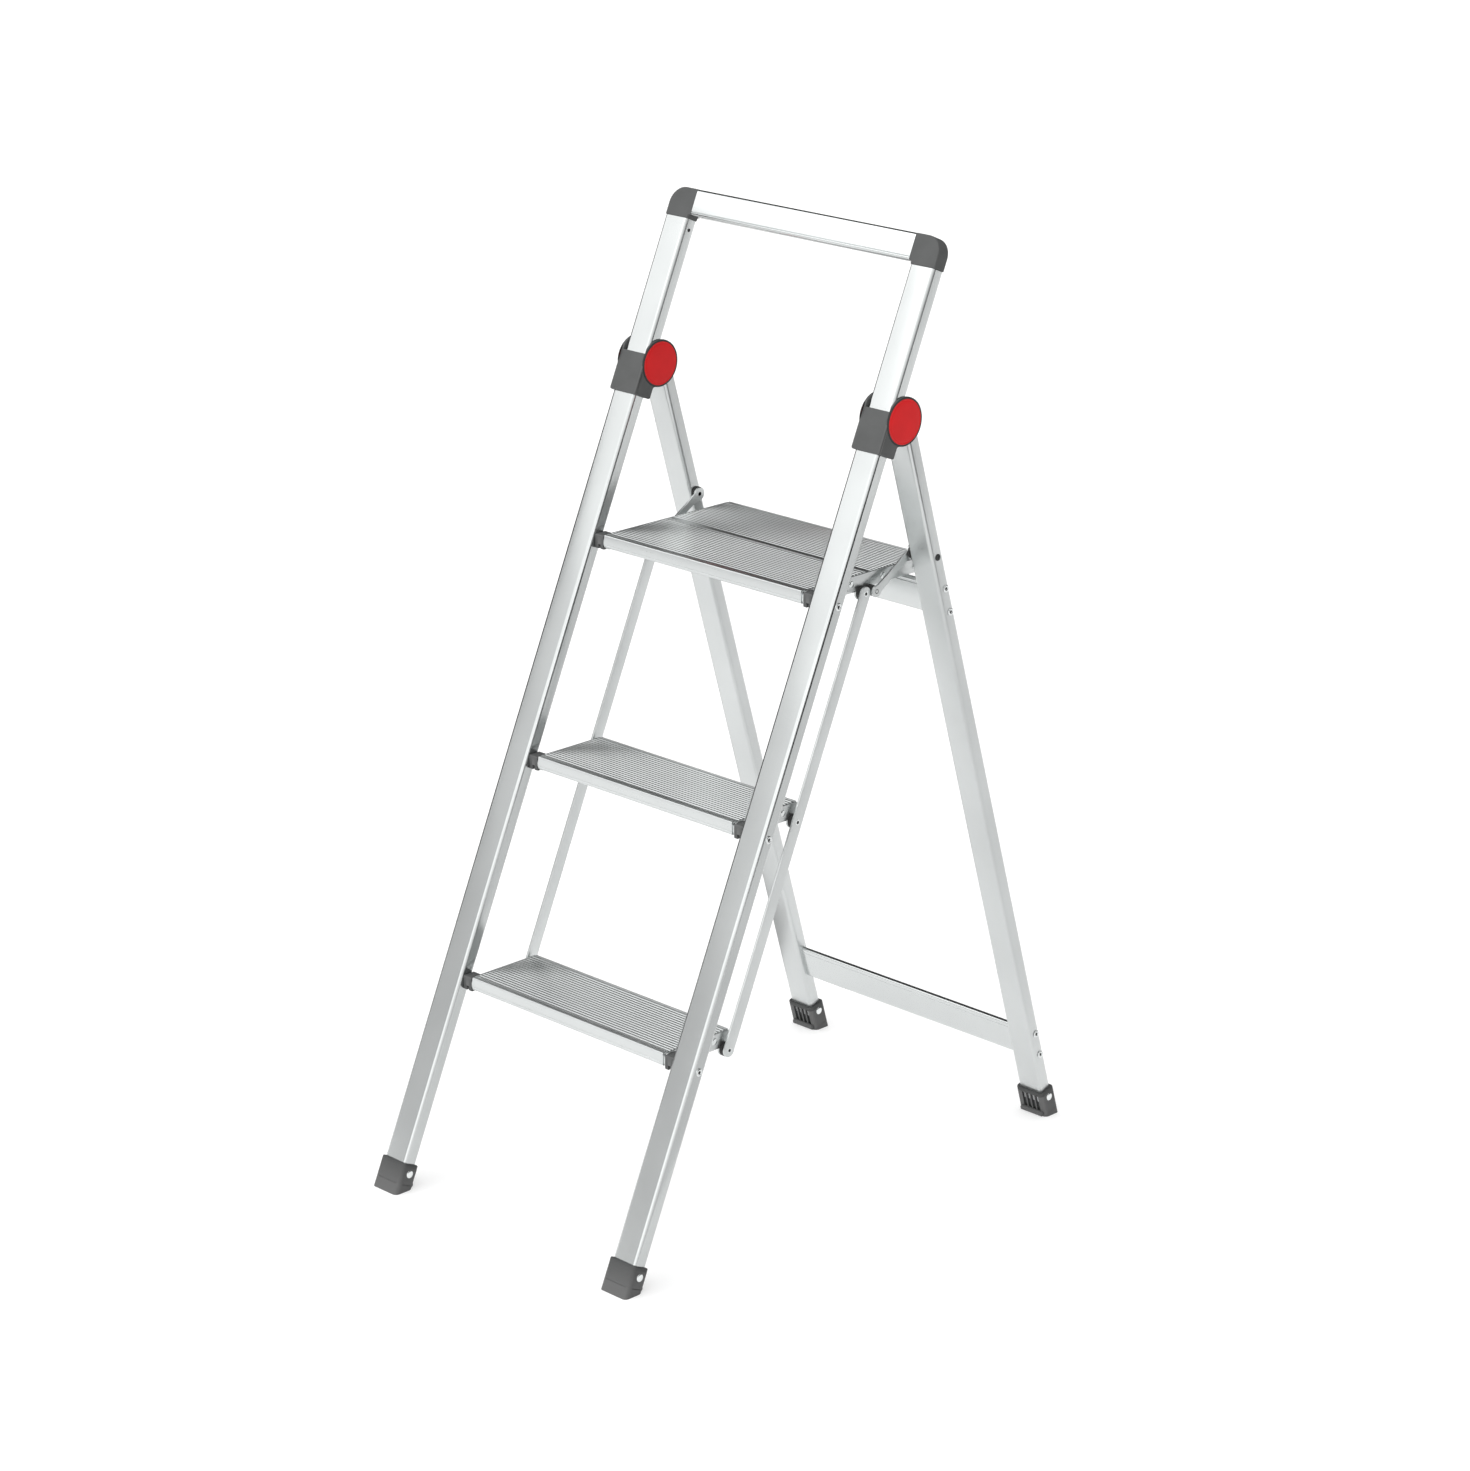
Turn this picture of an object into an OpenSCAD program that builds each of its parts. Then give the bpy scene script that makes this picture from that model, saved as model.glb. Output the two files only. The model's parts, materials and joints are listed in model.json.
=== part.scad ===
// Folding three-step platform ladder in aluminium.
// Front rails with a handle bar, rear legs on a plastic hinge, two treads and a
// double-depth platform that fold flat between the rails, tied by push rods.
// +X is the right-hand side, +Y points to the rear, +Z is up; the ladder stands open.

/* [Overall size] */
// Width over the two front rails
overall_w = 406; // [390:1:430]
// Height of the top front edge of the handle
overall_h = 1069.5; // [1060:0.5:1080]
// Lean of the front rails from vertical, in degrees
front_lean = 23.9; // [23.5:0.1:24.2]
// Lean of the rear legs from vertical, in degrees
rear_lean = 16.4; // [16:0.1:17]

/* [Rail and leg profile] */
// Front width of the rail and leg extrusion
rail_w = 34.5; // [32:0.5:36]
// Depth of the rail and leg extrusion
rail_d = 17; // [16:0.5:18]
// Wall thickness of the extrusion
rail_wall = 1.6; // [1.2:0.1:2]
// Radius of the extrusion's outer corners
rail_r = 3; // [2:0.5:4]

/* [Treads] */
// Rise from one tread to the next
step_rise = 235; // [230:1:240]
// Depth of one tread extrusion
tread_d = 98.5; // [96:0.5:100]
// Height of the tread's front and rear lips
tread_h = 15; // [14:0.5:16]
// Width over the tread with its two side plates
tread_w = 309.6; // [309:0.1:310]
// Thickness of the tread's side plates
plate_t = 2.5; // [2:0.1:3]
// Joint gap between the platform's two tread extrusions
seam = 1.4; // [1:0.1:2]

/* [Hinge] */
// Height of the fold axis above the floor
hinge_h = 881; // [878:1:884]
// Distance of the fold axis behind the rail's rear face
hinge_back = 5; // [4.8:0.1:6]
// Distance of the leg's front face behind the fold axis
leg_gap = 2.5; // [2.3:0.1:3]
// Radius of the hinge bracket's round lobe
lobe_r = 27; // [26:0.5:28]
// Thickness of the hinge bracket's plastic walls
bracket_t = 3; // [2.5:0.5:3]
// Diameter of the hinge pin
hinge_pin_d = 6; // [5:0.5:6]

/* [Linkage] */
// Depth of the tread pivot behind the tread's front edge
pivot_back = 4.1; // [4:0.1:5]
// Depth of the tread pivot below the tread's top
pivot_drop = 8.4; // [8:0.1:9]
// Push rod pivot behind the tread pivot
rod_back = 85.9; // [85:0.1:87]
// Push rod pivot below the tread pivot
rod_drop = 12.4; // [12:0.1:13]
// Width of the push rods
rod_w = 15; // [14:0.5:15]
// Arm pivot behind the tread pivot
arm_back = 100; // [99.5:0.1:101]
// Arm pivot below the tread pivot
arm_drop = 12; // [11.5:0.1:12.5]
// Arm pivot on the rear leg, below the fold axis along the leg
arm_anchor = 172; // [170:0.5:174]
// Diameter of the linkage and tread pivot rivets
rivet_d = 6; // [5:0.5:6]
// Running clearance on the radius of every turning pivot
run_gap = 0.06; // [0.03:0.01:0.09]

/* [Feet, crossbars and handle] */
// Wall thickness of the plastic feet
foot_wall = 3; // [2.5:0.5:3.5]
// Length of a front foot along its rail
front_foot_l = 35.5; // [34:0.5:38]
// Length of a rear foot along its leg
rear_foot_l = 32.5; // [31:0.5:38]
// Height of the two crossbars between the rear legs
crossbar_h = 40; // [36:1:40]
// Height of the lower crossbar's centre above the floor
crossbar_low_z = 92.5; // [88:0.5:110]
// Height of the upper crossbar's centre above the floor
crossbar_high_z = 664; // [655:1:665]
// Set-back of the crossbars behind the leg's front face
crossbar_back = 6; // [6:0.5:7]
// Depth of the crossbars' flanges
crossbar_lip = 5.5; // [4:0.5:10]
// Height of the handle bar along the rail
bar_h = 30; // [28:0.5:31]
// Height of the plastic corner pieces along the rail
corner_h = 34; // [33:0.5:38]
// Radius of the corner pieces' outer shoulder
corner_r = 20; // [16:1:22]

/* [Hidden] */
$fn = 64;

cf = cos(front_lean);
sf = sin(front_lean);
cr = cos(rear_lean);
sr = sin(rear_lean);

half_w = overall_w / 2;
rail_in = half_w - rail_w;
// the legs are a little narrower, to turn between the hinge cheeks
leg_slim = 0.25;
leg_in = rail_in + leg_slim;
leg_out = half_w - leg_slim;
rail_mid = half_w - rail_w / 2;
plate_out = tread_w / 2;
plate_in = plate_out - plate_t;

// fold axis in the rail's own frame: behind its front face and along it
hinge_n = rail_d + hinge_back;
hinge_s = (hinge_h + hinge_n * sf) / cf;
// fold axis along the leg, and the floor distance between rail and leg front faces
hinge_u = (hinge_h + leg_gap * sr) / cr;
stance = hinge_s * sf + hinge_n * cf + hinge_u * sr + leg_gap * cr;
// the footprint is centred on the origin
rail_y = (foot_wall / cf - stance - (rail_d + foot_wall) / cr) / 2;
leg_y = rail_y + stance;
hinge_y = rail_y + hinge_s * sf + hinge_n * cf;

// a tread's pivot, and its top front edge, for step number k = 1, 2, 3
function pivot_z(k) = k * step_rise - pivot_drop;
function pivot_y(k) = rail_y + pivot_z(k) * sf / cf + rail_d / 2 / cf;
function tread_z(k) = k * step_rise;
function tread_y(k) = pivot_y(k) - pivot_back;

rod_y = pivot_back + rod_back;
rod_z = -pivot_drop - rod_drop;
arm_y = pivot_back + arm_back;
arm_z = -pivot_drop - arm_drop;
platform_d = 2 * tread_d + seam;

tube_start = 18;
rail_top = overall_h / cf;
leg_top = hinge_u - 12;
leg_v = rail_d / 2;
anchor_u = hinge_u - arm_anchor;
anchor_y = leg_y - anchor_u * sr + leg_v * cr;
anchor_z = anchor_u * cr + leg_v * sr;

// layers between the side plate and the rail, measured along X
bar_t = 2.5;
bushing_out = rail_in - 0.2;
rod_in = plate_out + 5.2;
arm_in = rod_in + bar_t + 0.5;
arm_out = arm_in + bar_t;
slide_out = leg_in - 0.4;
rod_gap = 0.4;
plug_gap = 0.15;
rod_eye = rod_w / 2 + 0.2;
spacer_r = 8;
rivet_port_r = 4.4;
plate_rivet_d = 4.8;
plate_rivet_drop = 8.5;
plate_rivet_y = [25, 75];
platform_rivet_y = [for (i = [0, 1], y = plate_rivet_y) y + i * (tread_d + seam)];
plate_rivet_l = 14;
head_h = 1.3;
front_rivet_s = 25;
rear_rivet_s = 23.5;
foot_rivet_r = 3;
front_bead_s = 13.5;
rear_bead_s = 5.2;
bead_r = 4;
slot_w = 4;
slot_pitch = 6.7;
slot_below_top = 5;
crossbar_t = 2;
crossbar_pitch = 29;
crossbar_rivet_n = 11;
crossbar_rivet_r = 2.5;
crossbar_rivet_l = 14;
anchor_bore_r = rivet_d / 2 - 1;
anchor_bore_l = 8;
cap_r = 24.8;
cap_h = 1.2;
// extent of a bracket's sleeve below the fold axis, and of its front plate above it
bracket_low = 42;
bracket_high = 4.5;
bracket_web_h = 18;
corner_in = rail_in - 3.5;
corner_plug_l = 20;
corner_rivet_r = 2;
corner_rivet_s = rail_top - corner_h - 12;
knuckle_plug_l = 25;
knuckle_r = 4.7;
// overlap that makes two solids of one piece join
join = 0.01;

// ---------- frames and helpers ----------

// children are drawn across X, behind the rail's front face (Y) and along the rail (Z)
module in_rail() {
    translate([0, rail_y, 0]) rotate([-front_lean, 0, 0]) children();
}

// the same for the rear legs
module in_leg() {
    translate([0, leg_y, 0]) rotate([rear_lean, 0, 0]) children();
}

// children are drawn from the top front edge of tread k
module at_tread(k) {
    translate([0, tread_y(k), tread_z(k)]) children();
}

// side -1 is the left, +1 the right
module side(s) {
    mirror([s < 0 ? 1 : 0, 0, 0]) children();
}

module both_sides() {
    for (s = [-1, 1]) side(s) children();
}

// a Y-Z outline extruded along X from x0 by t
module slab(x0, t) {
    translate([x0, 0, 0]) rotate([90, 0, 90]) linear_extrude(t) children();
}

// a round bar along X from x0 by t
module bar_x(x0, t, y, z, r) {
    translate([x0, y, z]) rotate([0, 90, 0]) cylinder(h = t, r = r);
}

// bore through both walls of a rail or leg, and past them
module tube_bore(y, z, r) {
    bar_x(rail_in - 1, rail_w + 2, y, z, r);
}

// rectangle with round corners, from its lowest corner
module round_rect(w, h, r) {
    translate([r, 0]) square([w - 2 * r, h]);
    translate([0, r]) square([w, h - 2 * r]);
    for (x = [r, w - r], y = [r, h - r]) translate([x, y]) circle(r);
}

// bar of width w between two points, with a round eye at each end
module link_2d(a, b, w, eye_a, eye_b) {
    d = b - a;
    translate(a) rotate(atan2(d[1], d[0])) translate([0, -w / 2]) square([norm(d), w]);
    translate(a) circle(eye_a);
    translate(b) circle(eye_b);
}

// outline of the rail, or of the leg when slimmed on both sides
module profile_outer(slim = 0) {
    translate([rail_in + slim, 0]) round_rect(rail_w - 2 * slim, rail_d, rail_r);
}

// its void, or a plug that fits the void with a gap all round
module profile_inner(gap = 0) {
    wall = rail_wall + gap;
    translate([rail_in + wall, wall])
        round_rect(rail_w - 2 * wall, rail_d - 2 * wall, rail_r - wall);
}

// hollow extrusion standing on the right-hand side from z0 to z1
module tube(z0, z1, slim = 0) {
    translate([0, 0, z0]) linear_extrude(z1 - z0) difference() {
        profile_outer(slim);
        profile_inner();
    }
}

// ---------- front frame ----------

module rail(s) {
    color([0.86, 0.88, 0.88]) side(s) difference() {
        in_rail() tube(tube_start, rail_top - corner_h);
        for (k = [1 : 3]) tube_bore(pivot_y(k), pivot_z(k), rivet_d / 2);
        in_rail() tube_bore(rail_d / 2, front_rivet_s, foot_rivet_r);
        in_rail() bar_x(rail_in - 1, rail_wall + 2, rail_d / 2, corner_rivet_s, corner_rivet_r);
    }
}

// end view of the handle bar from its lower front corner
module bar_outline() {
    round_rect(rail_d, bar_h - 6, 5);
    translate([0, 6]) square([rail_d, bar_h - 6]);
}

module bar_void(gap = 0) {
    wall = rail_wall + gap;
    translate([wall, wall]) round_rect(rail_d - 2 * wall, bar_h - 2 * wall, rail_r);
}

module handle_bar() {
    color([0.95, 0.96, 0.96]) in_rail() translate([0, 0, rail_top - bar_h])
        slab(-corner_in, 2 * corner_in) difference() {
            bar_outline();
            bar_void();
        }
}

module corner(s) {
    color([0.42, 0.42, 0.42]) side(s) in_rail() {
        translate([0, rail_d, rail_top]) rotate([90, 0, 0]) linear_extrude(rail_d) union() {
            translate([corner_in, -bar_h]) square([half_w - corner_in - corner_r, bar_h]);
            translate([rail_in, -corner_h]) square([rail_w, corner_h - corner_r]);
            translate([half_w - corner_r, -corner_r]) intersection() {
                circle(corner_r);
                square(corner_r);
            }
        }
        // plug in the rail
        translate([0, 0, rail_top - corner_h - corner_plug_l])
            linear_extrude(corner_plug_l + join) difference() {
                profile_inner(plug_gap);
                translate([rail_in, rail_d / 2 - 4]) square([rail_wall + 6, 8]);
            }
        // plug in the handle bar
        translate([0, 0, rail_top - bar_h])
            slab(corner_in - corner_plug_l, corner_plug_l + join) bar_void(plug_gap);
    }
}

// side view of a bracket cheek, with the fold axis at (hinge_n, hinge_s)
module cheek_2d() {
    intersection() {
        union() {
            translate([hinge_n, hinge_s]) circle(lobe_r);
            translate([-bracket_t, hinge_s - bracket_low]) round_rect(rail_d + 9, bracket_low, 2.5);
        }
        translate([-bracket_t, hinge_s - bracket_low]) square([90, 90]);
    }
}

module bracket(s) {
    color([0.34, 0.35, 0.35]) side(s) in_rail() difference() {
        union() {
            for (x = [rail_in - bracket_t, half_w]) slab(x, bracket_t) cheek_2d();
            // front plate, and the web that closes the sleeve behind the rail
            translate([rail_in - bracket_t, -bracket_t, hinge_s - bracket_low])
                cube([rail_w + 2 * bracket_t, bracket_t, bracket_low + bracket_high]);
            translate([rail_in - 1, rail_d, hinge_s - bracket_low])
                cube([rail_w + 2, bracket_t, bracket_web_h]);
        }
        bar_x(rail_in - 5, rail_w + 10, hinge_n, hinge_s, hinge_pin_d / 2);
    }
}

module hinge_pins() {
    color([0.75, 0.76, 0.77]) both_sides() in_rail()
        bar_x(rail_in - bracket_t, rail_w + 2 * bracket_t, hinge_n, hinge_s, hinge_pin_d / 2);
}

// round cover discs on both faces of both brackets
module hinge_caps() {
    color([0.78, 0.13, 0.14]) both_sides() in_rail() {
        bar_x(half_w + bracket_t, cap_h, hinge_n, hinge_s, cap_r);
        bar_x(rail_in - bracket_t - cap_h, cap_h, hinge_n, hinge_s, cap_r);
    }
}

// moulded foot for a tube in the rail's own frame; Y = 0 is the outward face, and a toe
// bead runs along the inward one
module foot_body(length, bead_s, rivet_s, slim = 0) {
    slots_h = length - slot_below_top - bead_s;
    difference() {
        translate([0, 0, -20]) linear_extrude(length + 20)
            translate([rail_in - foot_wall, -foot_wall])
                round_rect(rail_w + 2 * foot_wall, rail_d + 2 * foot_wall, 5);
        translate([0, 0, tube_start]) linear_extrude(length) profile_outer(slim);
        bar_x(rail_in - 5, rail_w + 10, rail_d / 2, rivet_s, foot_rivet_r);
        // gripping slots in the inward face
        for (i = [-1.5 : 1.5])
            translate([rail_mid + i * slot_pitch - slot_w / 2, rail_d + 1, bead_s])
                cube([slot_w, foot_wall + 1, slots_h]);
    }
    bar_x(rail_in - foot_wall + bead_r, rail_w + 2 * foot_wall - 2 * bead_r, rail_d + foot_wall,
          bead_s, bead_r);
}

module above_floor() {
    intersection() {
        children();
        translate([-300, -500, 0]) cube([600, 1000, 200]);
    }
}

module foot_front(s) {
    color([0.36, 0.37, 0.37]) side(s) above_floor() in_rail()
        foot_body(front_foot_l, front_bead_s, front_rivet_s);
}

module foot_rear(s) {
    color([0.36, 0.37, 0.37]) side(s) above_floor()
        in_leg() translate([0, rail_d, 0]) mirror([0, 1, 0])
            foot_body(rear_foot_l, rear_bead_s, rear_rivet_s, leg_slim);
}

// rivet across a foot, with a head at each end
module foot_rivet(s) {
    x0 = rail_in - foot_wall;
    x1 = half_w + foot_wall;
    bar_x(x0, x1 - x0, rail_d / 2, s, foot_rivet_r);
    for (x = [x0 - head_h, x1]) bar_x(x, head_h, rail_d / 2, s, foot_rivet_r + 1.5);
}

module foot_rivets_front() {
    color([0.85, 0.86, 0.86]) both_sides() in_rail() foot_rivet(front_rivet_s);
}

// rivets that the treads turn on: head outside the rail, shank into the bushing
module tread_axles() {
    color([0.8, 0.81, 0.82]) both_sides() for (k = [1 : 3]) {
        bar_x(plate_out + 0.4, half_w - plate_out - 0.4, pivot_y(k), pivot_z(k), rivet_d / 2);
        bar_x(half_w, head_h, pivot_y(k), pivot_z(k), rivet_d / 2 + 1.4);
    }
}

// blind rivets that hold the corner plugs, on the rails' inner faces
module corner_rivets() {
    color([0.12, 0.12, 0.12]) both_sides() in_rail()
        bar_x(rail_in - 0.4, rail_wall + 0.4, rail_d / 2, corner_rivet_s, corner_rivet_r);
}

// ---------- rear frame ----------

module leg(s) {
    color([0.83, 0.85, 0.85]) side(s) difference() {
        in_leg() tube(tube_start, leg_top, leg_slim);
        in_leg() for (z = [crossbar_low_z, crossbar_high_z], e = [-0.5, 0.5])
            tube_bore(crossbar_rivet_n, z / cr + e * crossbar_pitch, crossbar_rivet_r);
        tube_bore(anchor_y, anchor_z, rivet_d / 2);
        in_leg() tube_bore(rail_d / 2, rear_rivet_s, foot_rivet_r);
    }
}

// plastic end piece that turns on the hinge pin; it plugs into the leg
module knuckle(s) {
    color([0.3, 0.31, 0.31]) side(s) in_leg() difference() {
        union() {
            slab(leg_in, leg_out - leg_in) {
                translate([-leg_gap, hinge_u]) circle(knuckle_r);
                polygon([
                    [-leg_gap, hinge_u + knuckle_r], [rail_d - 5, hinge_u + knuckle_r],
                    [rail_d, hinge_u - 2], [rail_d, leg_top], [0, leg_top],
                    [-leg_gap - 4.2, hinge_u - 2.1]
                ]);
            }
            translate([0, 0, leg_top - knuckle_plug_l]) linear_extrude(knuckle_plug_l + join)
                profile_inner(plug_gap);
        }
        tube_bore(-leg_gap, hinge_u, hinge_pin_d / 2 + run_gap);
    }
}

// channel between the legs, open to the rear
module crossbar(z) {
    color([0.82, 0.84, 0.84]) in_leg() translate([0, crossbar_back, z / cr - crossbar_h / 2])
        slab(-leg_in, 2 * leg_in) {
            square([crossbar_t, crossbar_h]);
            for (e = [0, crossbar_h - crossbar_t])
                translate([0, e]) square([crossbar_lip, crossbar_t]);
            // rivet ports
            for (e = [-0.5, 0.5])
                translate([crossbar_rivet_n - crossbar_back,
                           crossbar_h / 2 + e * crossbar_pitch])
                    difference() {
                        circle(crossbar_rivet_r + 1.5);
                        circle(crossbar_rivet_r);
                    }
        }
}

module crossbar_rivets() {
    color([0.8, 0.81, 0.82]) both_sides() in_leg()
        for (z = [crossbar_low_z, crossbar_high_z], e = [-0.5, 0.5]) {
            s = z / cr + e * crossbar_pitch;
            bar_x(leg_in - crossbar_rivet_l, leg_out - leg_in + crossbar_rivet_l,
                  crossbar_rivet_n, s, crossbar_rivet_r);
            bar_x(leg_out, head_h, crossbar_rivet_n, s, crossbar_rivet_r + 1.7);
        }
}

// rivets through the legs that the folding arms hang on: flush inside, and outside a
// low head with a hollow in it
module arm_anchors() {
    color([0.3, 0.3, 0.31]) both_sides() difference() {
        union() {
            bar_x(leg_in, leg_out - leg_in, anchor_y, anchor_z, rivet_d / 2);
            bar_x(leg_out, head_h, anchor_y, anchor_z, rivet_d / 2 + 0.8);
        }
        bar_x(leg_out - anchor_bore_l, anchor_bore_l + head_h + 1, anchor_y, anchor_z,
              anchor_bore_r);
    }
}

module foot_rivets_rear() {
    color([0.85, 0.86, 0.86]) both_sides() in_leg() foot_rivet(rear_rivet_s);
}

// ---------- treads ----------

// side view of a tread extrusion from its top front edge
module tread_2d() {
    difference() {
        union() {
            translate([0, -tread_h]) round_rect(tread_d, tread_h, 2);
            translate([2, -2]) square([tread_d - 4, 2]);
        }
        difference() {
            translate([2.2, -tread_h - 1]) square([tread_d - 4.4, tread_h - 1.4]);
            // stiffening webs and rivet ports under the deck
            translate([tread_d / 2 - 1, -tread_h + 5]) square([2, tread_h]);
            for (y = plate_rivet_y) translate([y, -plate_rivet_drop]) {
                circle(rivet_port_r);
                translate([-1, 0]) square([2, tread_h]);
            }
        }
        for (y = plate_rivet_y) translate([y, -plate_rivet_drop]) circle(plate_rivet_d / 2);
    }
}

module tread(k, offset_y = 0) {
    color([0.66, 0.67, 0.68]) at_tread(k) translate([0, offset_y, 0])
        slab(-plate_in, 2 * plate_in) tread_2d();
}

// side plate outline, with lobes for the tread pivot, the rod and, on the platform, the arm
module plate_2d(d, arm) {
    translate([0.8, -16]) round_rect(d - 1.6, 15.5, 3);
    translate([0.8 + 9.5, -9]) circle(9.5);
    translate([10, -18.5]) square([rod_y - 10, 8]);
    translate([rod_y, rod_z]) circle(spacer_r);
    translate([rod_y - 4, rod_z]) square([8, 10]);
    if (arm) {
        translate([arm_y, arm_z]) circle(6.5);
        translate([arm_y - 4, arm_z]) square([8, 10]);
    }
}

module plate(k, s, d, rivets, arm) {
    color([0.77, 0.79, 0.79]) side(s) at_tread(k) difference() {
        slab(plate_in, plate_t) plate_2d(d, arm);
        bar_x(plate_in - 1, plate_t + 2, rod_y, rod_z, rivet_d / 2);
        if (arm) bar_x(plate_in - 1, plate_t + 2, arm_y, arm_z, rivet_d / 2);
        for (y = rivets) bar_x(plate_in - 1, plate_t + 2, y, -plate_rivet_drop, plate_rivet_d / 2);
    }
}

// plastic blocks between side plates and rails, turning on the tread axles
module bushings(k) {
    color([0.36, 0.37, 0.37]) both_sides() at_tread(k) difference() {
        slab(plate_out, bushing_out - plate_out) {
            translate([0.6, -18]) round_rect(16.5, 16.4, 1.5);
        }
        bar_x(plate_out - 1, rail_w, pivot_back, -pivot_drop, rivet_d / 2 + run_gap);
        // groove that the push rod drops into when the ladder is folded
        translate([rod_in - rod_gap, -1, rod_z - 20])
            cube([bar_t + 2 * rod_gap, 20, rod_w / 2 + rod_gap + 20]);
    }
}

// black rings between the side plates and the rods, and on the platform the arms
module spacers(k, arm) {
    color([0.1, 0.1, 0.1]) both_sides() at_tread(k) {
        difference() {
            bar_x(plate_out, rod_in - plate_out - 0.1, rod_y, rod_z, spacer_r - 0.2);
            bar_x(plate_out - 1, 10, rod_y, rod_z, rivet_d / 2);
        }
        if (arm) difference() {
            bar_x(plate_out, arm_in - plate_out - 0.1, arm_y, arm_z, 6);
            bar_x(plate_out - 1, 12, arm_y, arm_z, rivet_d / 2);
        }
    }
}

// linkage rivets fixed in the side plates; rods and arms turn on them
module link_pins(k, arm) {
    color([0.7, 0.71, 0.72]) both_sides() at_tread(k) {
        difference() {
            bar_x(plate_in, rod_in + bar_t - plate_in, rod_y, rod_z, rivet_d / 2);
            bar_x(rod_in + bar_t - 3, 4, rod_y, rod_z, rivet_d / 2 - 1.2);
        }
        if (arm) bar_x(plate_in, arm_out - plate_in, arm_y, arm_z, rivet_d / 2);
    }
}

// rivets that hold the side plates to the tread's ports
module plate_rivets(k, ys) {
    color([0.82, 0.83, 0.84]) both_sides() at_tread(k) for (y = ys) {
        bar_x(plate_out - plate_rivet_l, plate_rivet_l, y, -plate_rivet_drop, plate_rivet_d / 2);
        bar_x(plate_out, 1, y, -plate_rivet_drop, plate_rivet_d / 2 + 1.4);
    }
}

// ---------- linkage bars ----------

// a point of tread k in the Y-Z plane, given from its top front edge
function at(k, y, z) = [tread_y(k) + y, tread_z(k) + z];

module rod(s) {
    color([0.76, 0.77, 0.77]) side(s) difference() {
        slab(rod_in, bar_t) link_2d(at(1, rod_y, rod_z), at(3, rod_y, rod_z), rod_w, rod_eye, rod_eye);
        for (k = [1 : 3])
            bar_x(rod_in - 1, bar_t + 2, at(k, rod_y, rod_z)[0], at(k, rod_y, rod_z)[1],
                  rivet_d / 2 + run_gap);
    }
}

module arm(s) {
    color([0.79, 0.81, 0.81]) side(s) difference() {
        slab(arm_in, bar_t) link_2d(at(3, arm_y, arm_z), [anchor_y, anchor_z], 10, 6.5, 7.5);
        bar_x(arm_in - 1, bar_t + 2, at(3, arm_y, arm_z)[0], at(3, arm_y, arm_z)[1],
              rivet_d / 2 + run_gap);
        bar_x(arm_in - 1, bar_t + 2, anchor_y, anchor_z, rivet_d / 2);
    }
}

// black washer between the arm's upper end and the leg
module arm_spacer(s) {
    color([0.1, 0.1, 0.1]) side(s) difference() {
        bar_x(arm_out, slide_out - arm_out, anchor_y, anchor_z, spacer_r);
        bar_x(arm_out - 1, 8, anchor_y, anchor_z, rivet_d / 2);
    }
}

module arm_rivet(s) {
    color([0.7, 0.71, 0.72]) side(s)
        bar_x(arm_in, slide_out - arm_in, anchor_y, anchor_z, rivet_d / 2);
}

// ---------- nodes ----------

rail(-1);  // rail_left
rail(1);  // rail_right
handle_bar();
corner(-1);  // corner_left
corner(1);  // corner_right
bracket(-1);  // bracket_left
bracket(1);  // bracket_right
hinge_pins();
hinge_caps();
foot_front(-1);  // foot_front_left
foot_front(1);  // foot_front_right
foot_rivets_front();
tread_axles();
corner_rivets();

leg(-1);  // leg_left
leg(1);  // leg_right
knuckle(-1);  // knuckle_left
knuckle(1);  // knuckle_right
crossbar(crossbar_low_z);  // crossbar_lower
crossbar(crossbar_high_z);  // crossbar_upper
crossbar_rivets();
arm_anchors();
foot_rear(-1);  // foot_rear_left
foot_rear(1);  // foot_rear_right
foot_rivets_rear();

tread(3);  // platform_front
tread(3, tread_d + seam);  // platform_rear
plate(3, -1, platform_d, platform_rivet_y, true);  // platform_plate_left
plate(3, 1, platform_d, platform_rivet_y, true);  // platform_plate_right
bushings(3);  // platform_bushings
spacers(3, true);  // platform_spacers
link_pins(3, true);  // platform_pins
plate_rivets(3, platform_rivet_y);  // platform_rivets

tread(2);  // tread_middle
plate(2, -1, tread_d, plate_rivet_y, false);  // middle_plate_left
plate(2, 1, tread_d, plate_rivet_y, false);  // middle_plate_right
bushings(2);  // middle_bushings
spacers(2, false);  // middle_spacers
link_pins(2, false);  // middle_pins
plate_rivets(2, plate_rivet_y);  // middle_rivets

tread(1);  // tread_lower
plate(1, -1, tread_d, plate_rivet_y, false);  // lower_plate_left
plate(1, 1, tread_d, plate_rivet_y, false);  // lower_plate_right
bushings(1);  // lower_bushings
spacers(1, false);  // lower_spacers
link_pins(1, false);  // lower_pins
plate_rivets(1, plate_rivet_y);  // lower_rivets

rod(-1);  // rod_left
rod(1);  // rod_right
arm(-1);  // arm_left
arm(1);  // arm_right
arm_spacer(-1);  // arm_spacer_left
arm_spacer(1);  // arm_spacer_right
arm_rivet(-1);  // arm_rivet_left
arm_rivet(1);  // arm_rivet_right
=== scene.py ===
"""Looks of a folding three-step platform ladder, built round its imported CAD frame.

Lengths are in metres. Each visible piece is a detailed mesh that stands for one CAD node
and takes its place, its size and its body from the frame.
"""

import json
from math import acos, atan2, cos, degrees, hypot, pi, radians, sin, sqrt, tan

import bmesh
import bpy
from mathutils import Matrix, Vector

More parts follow.
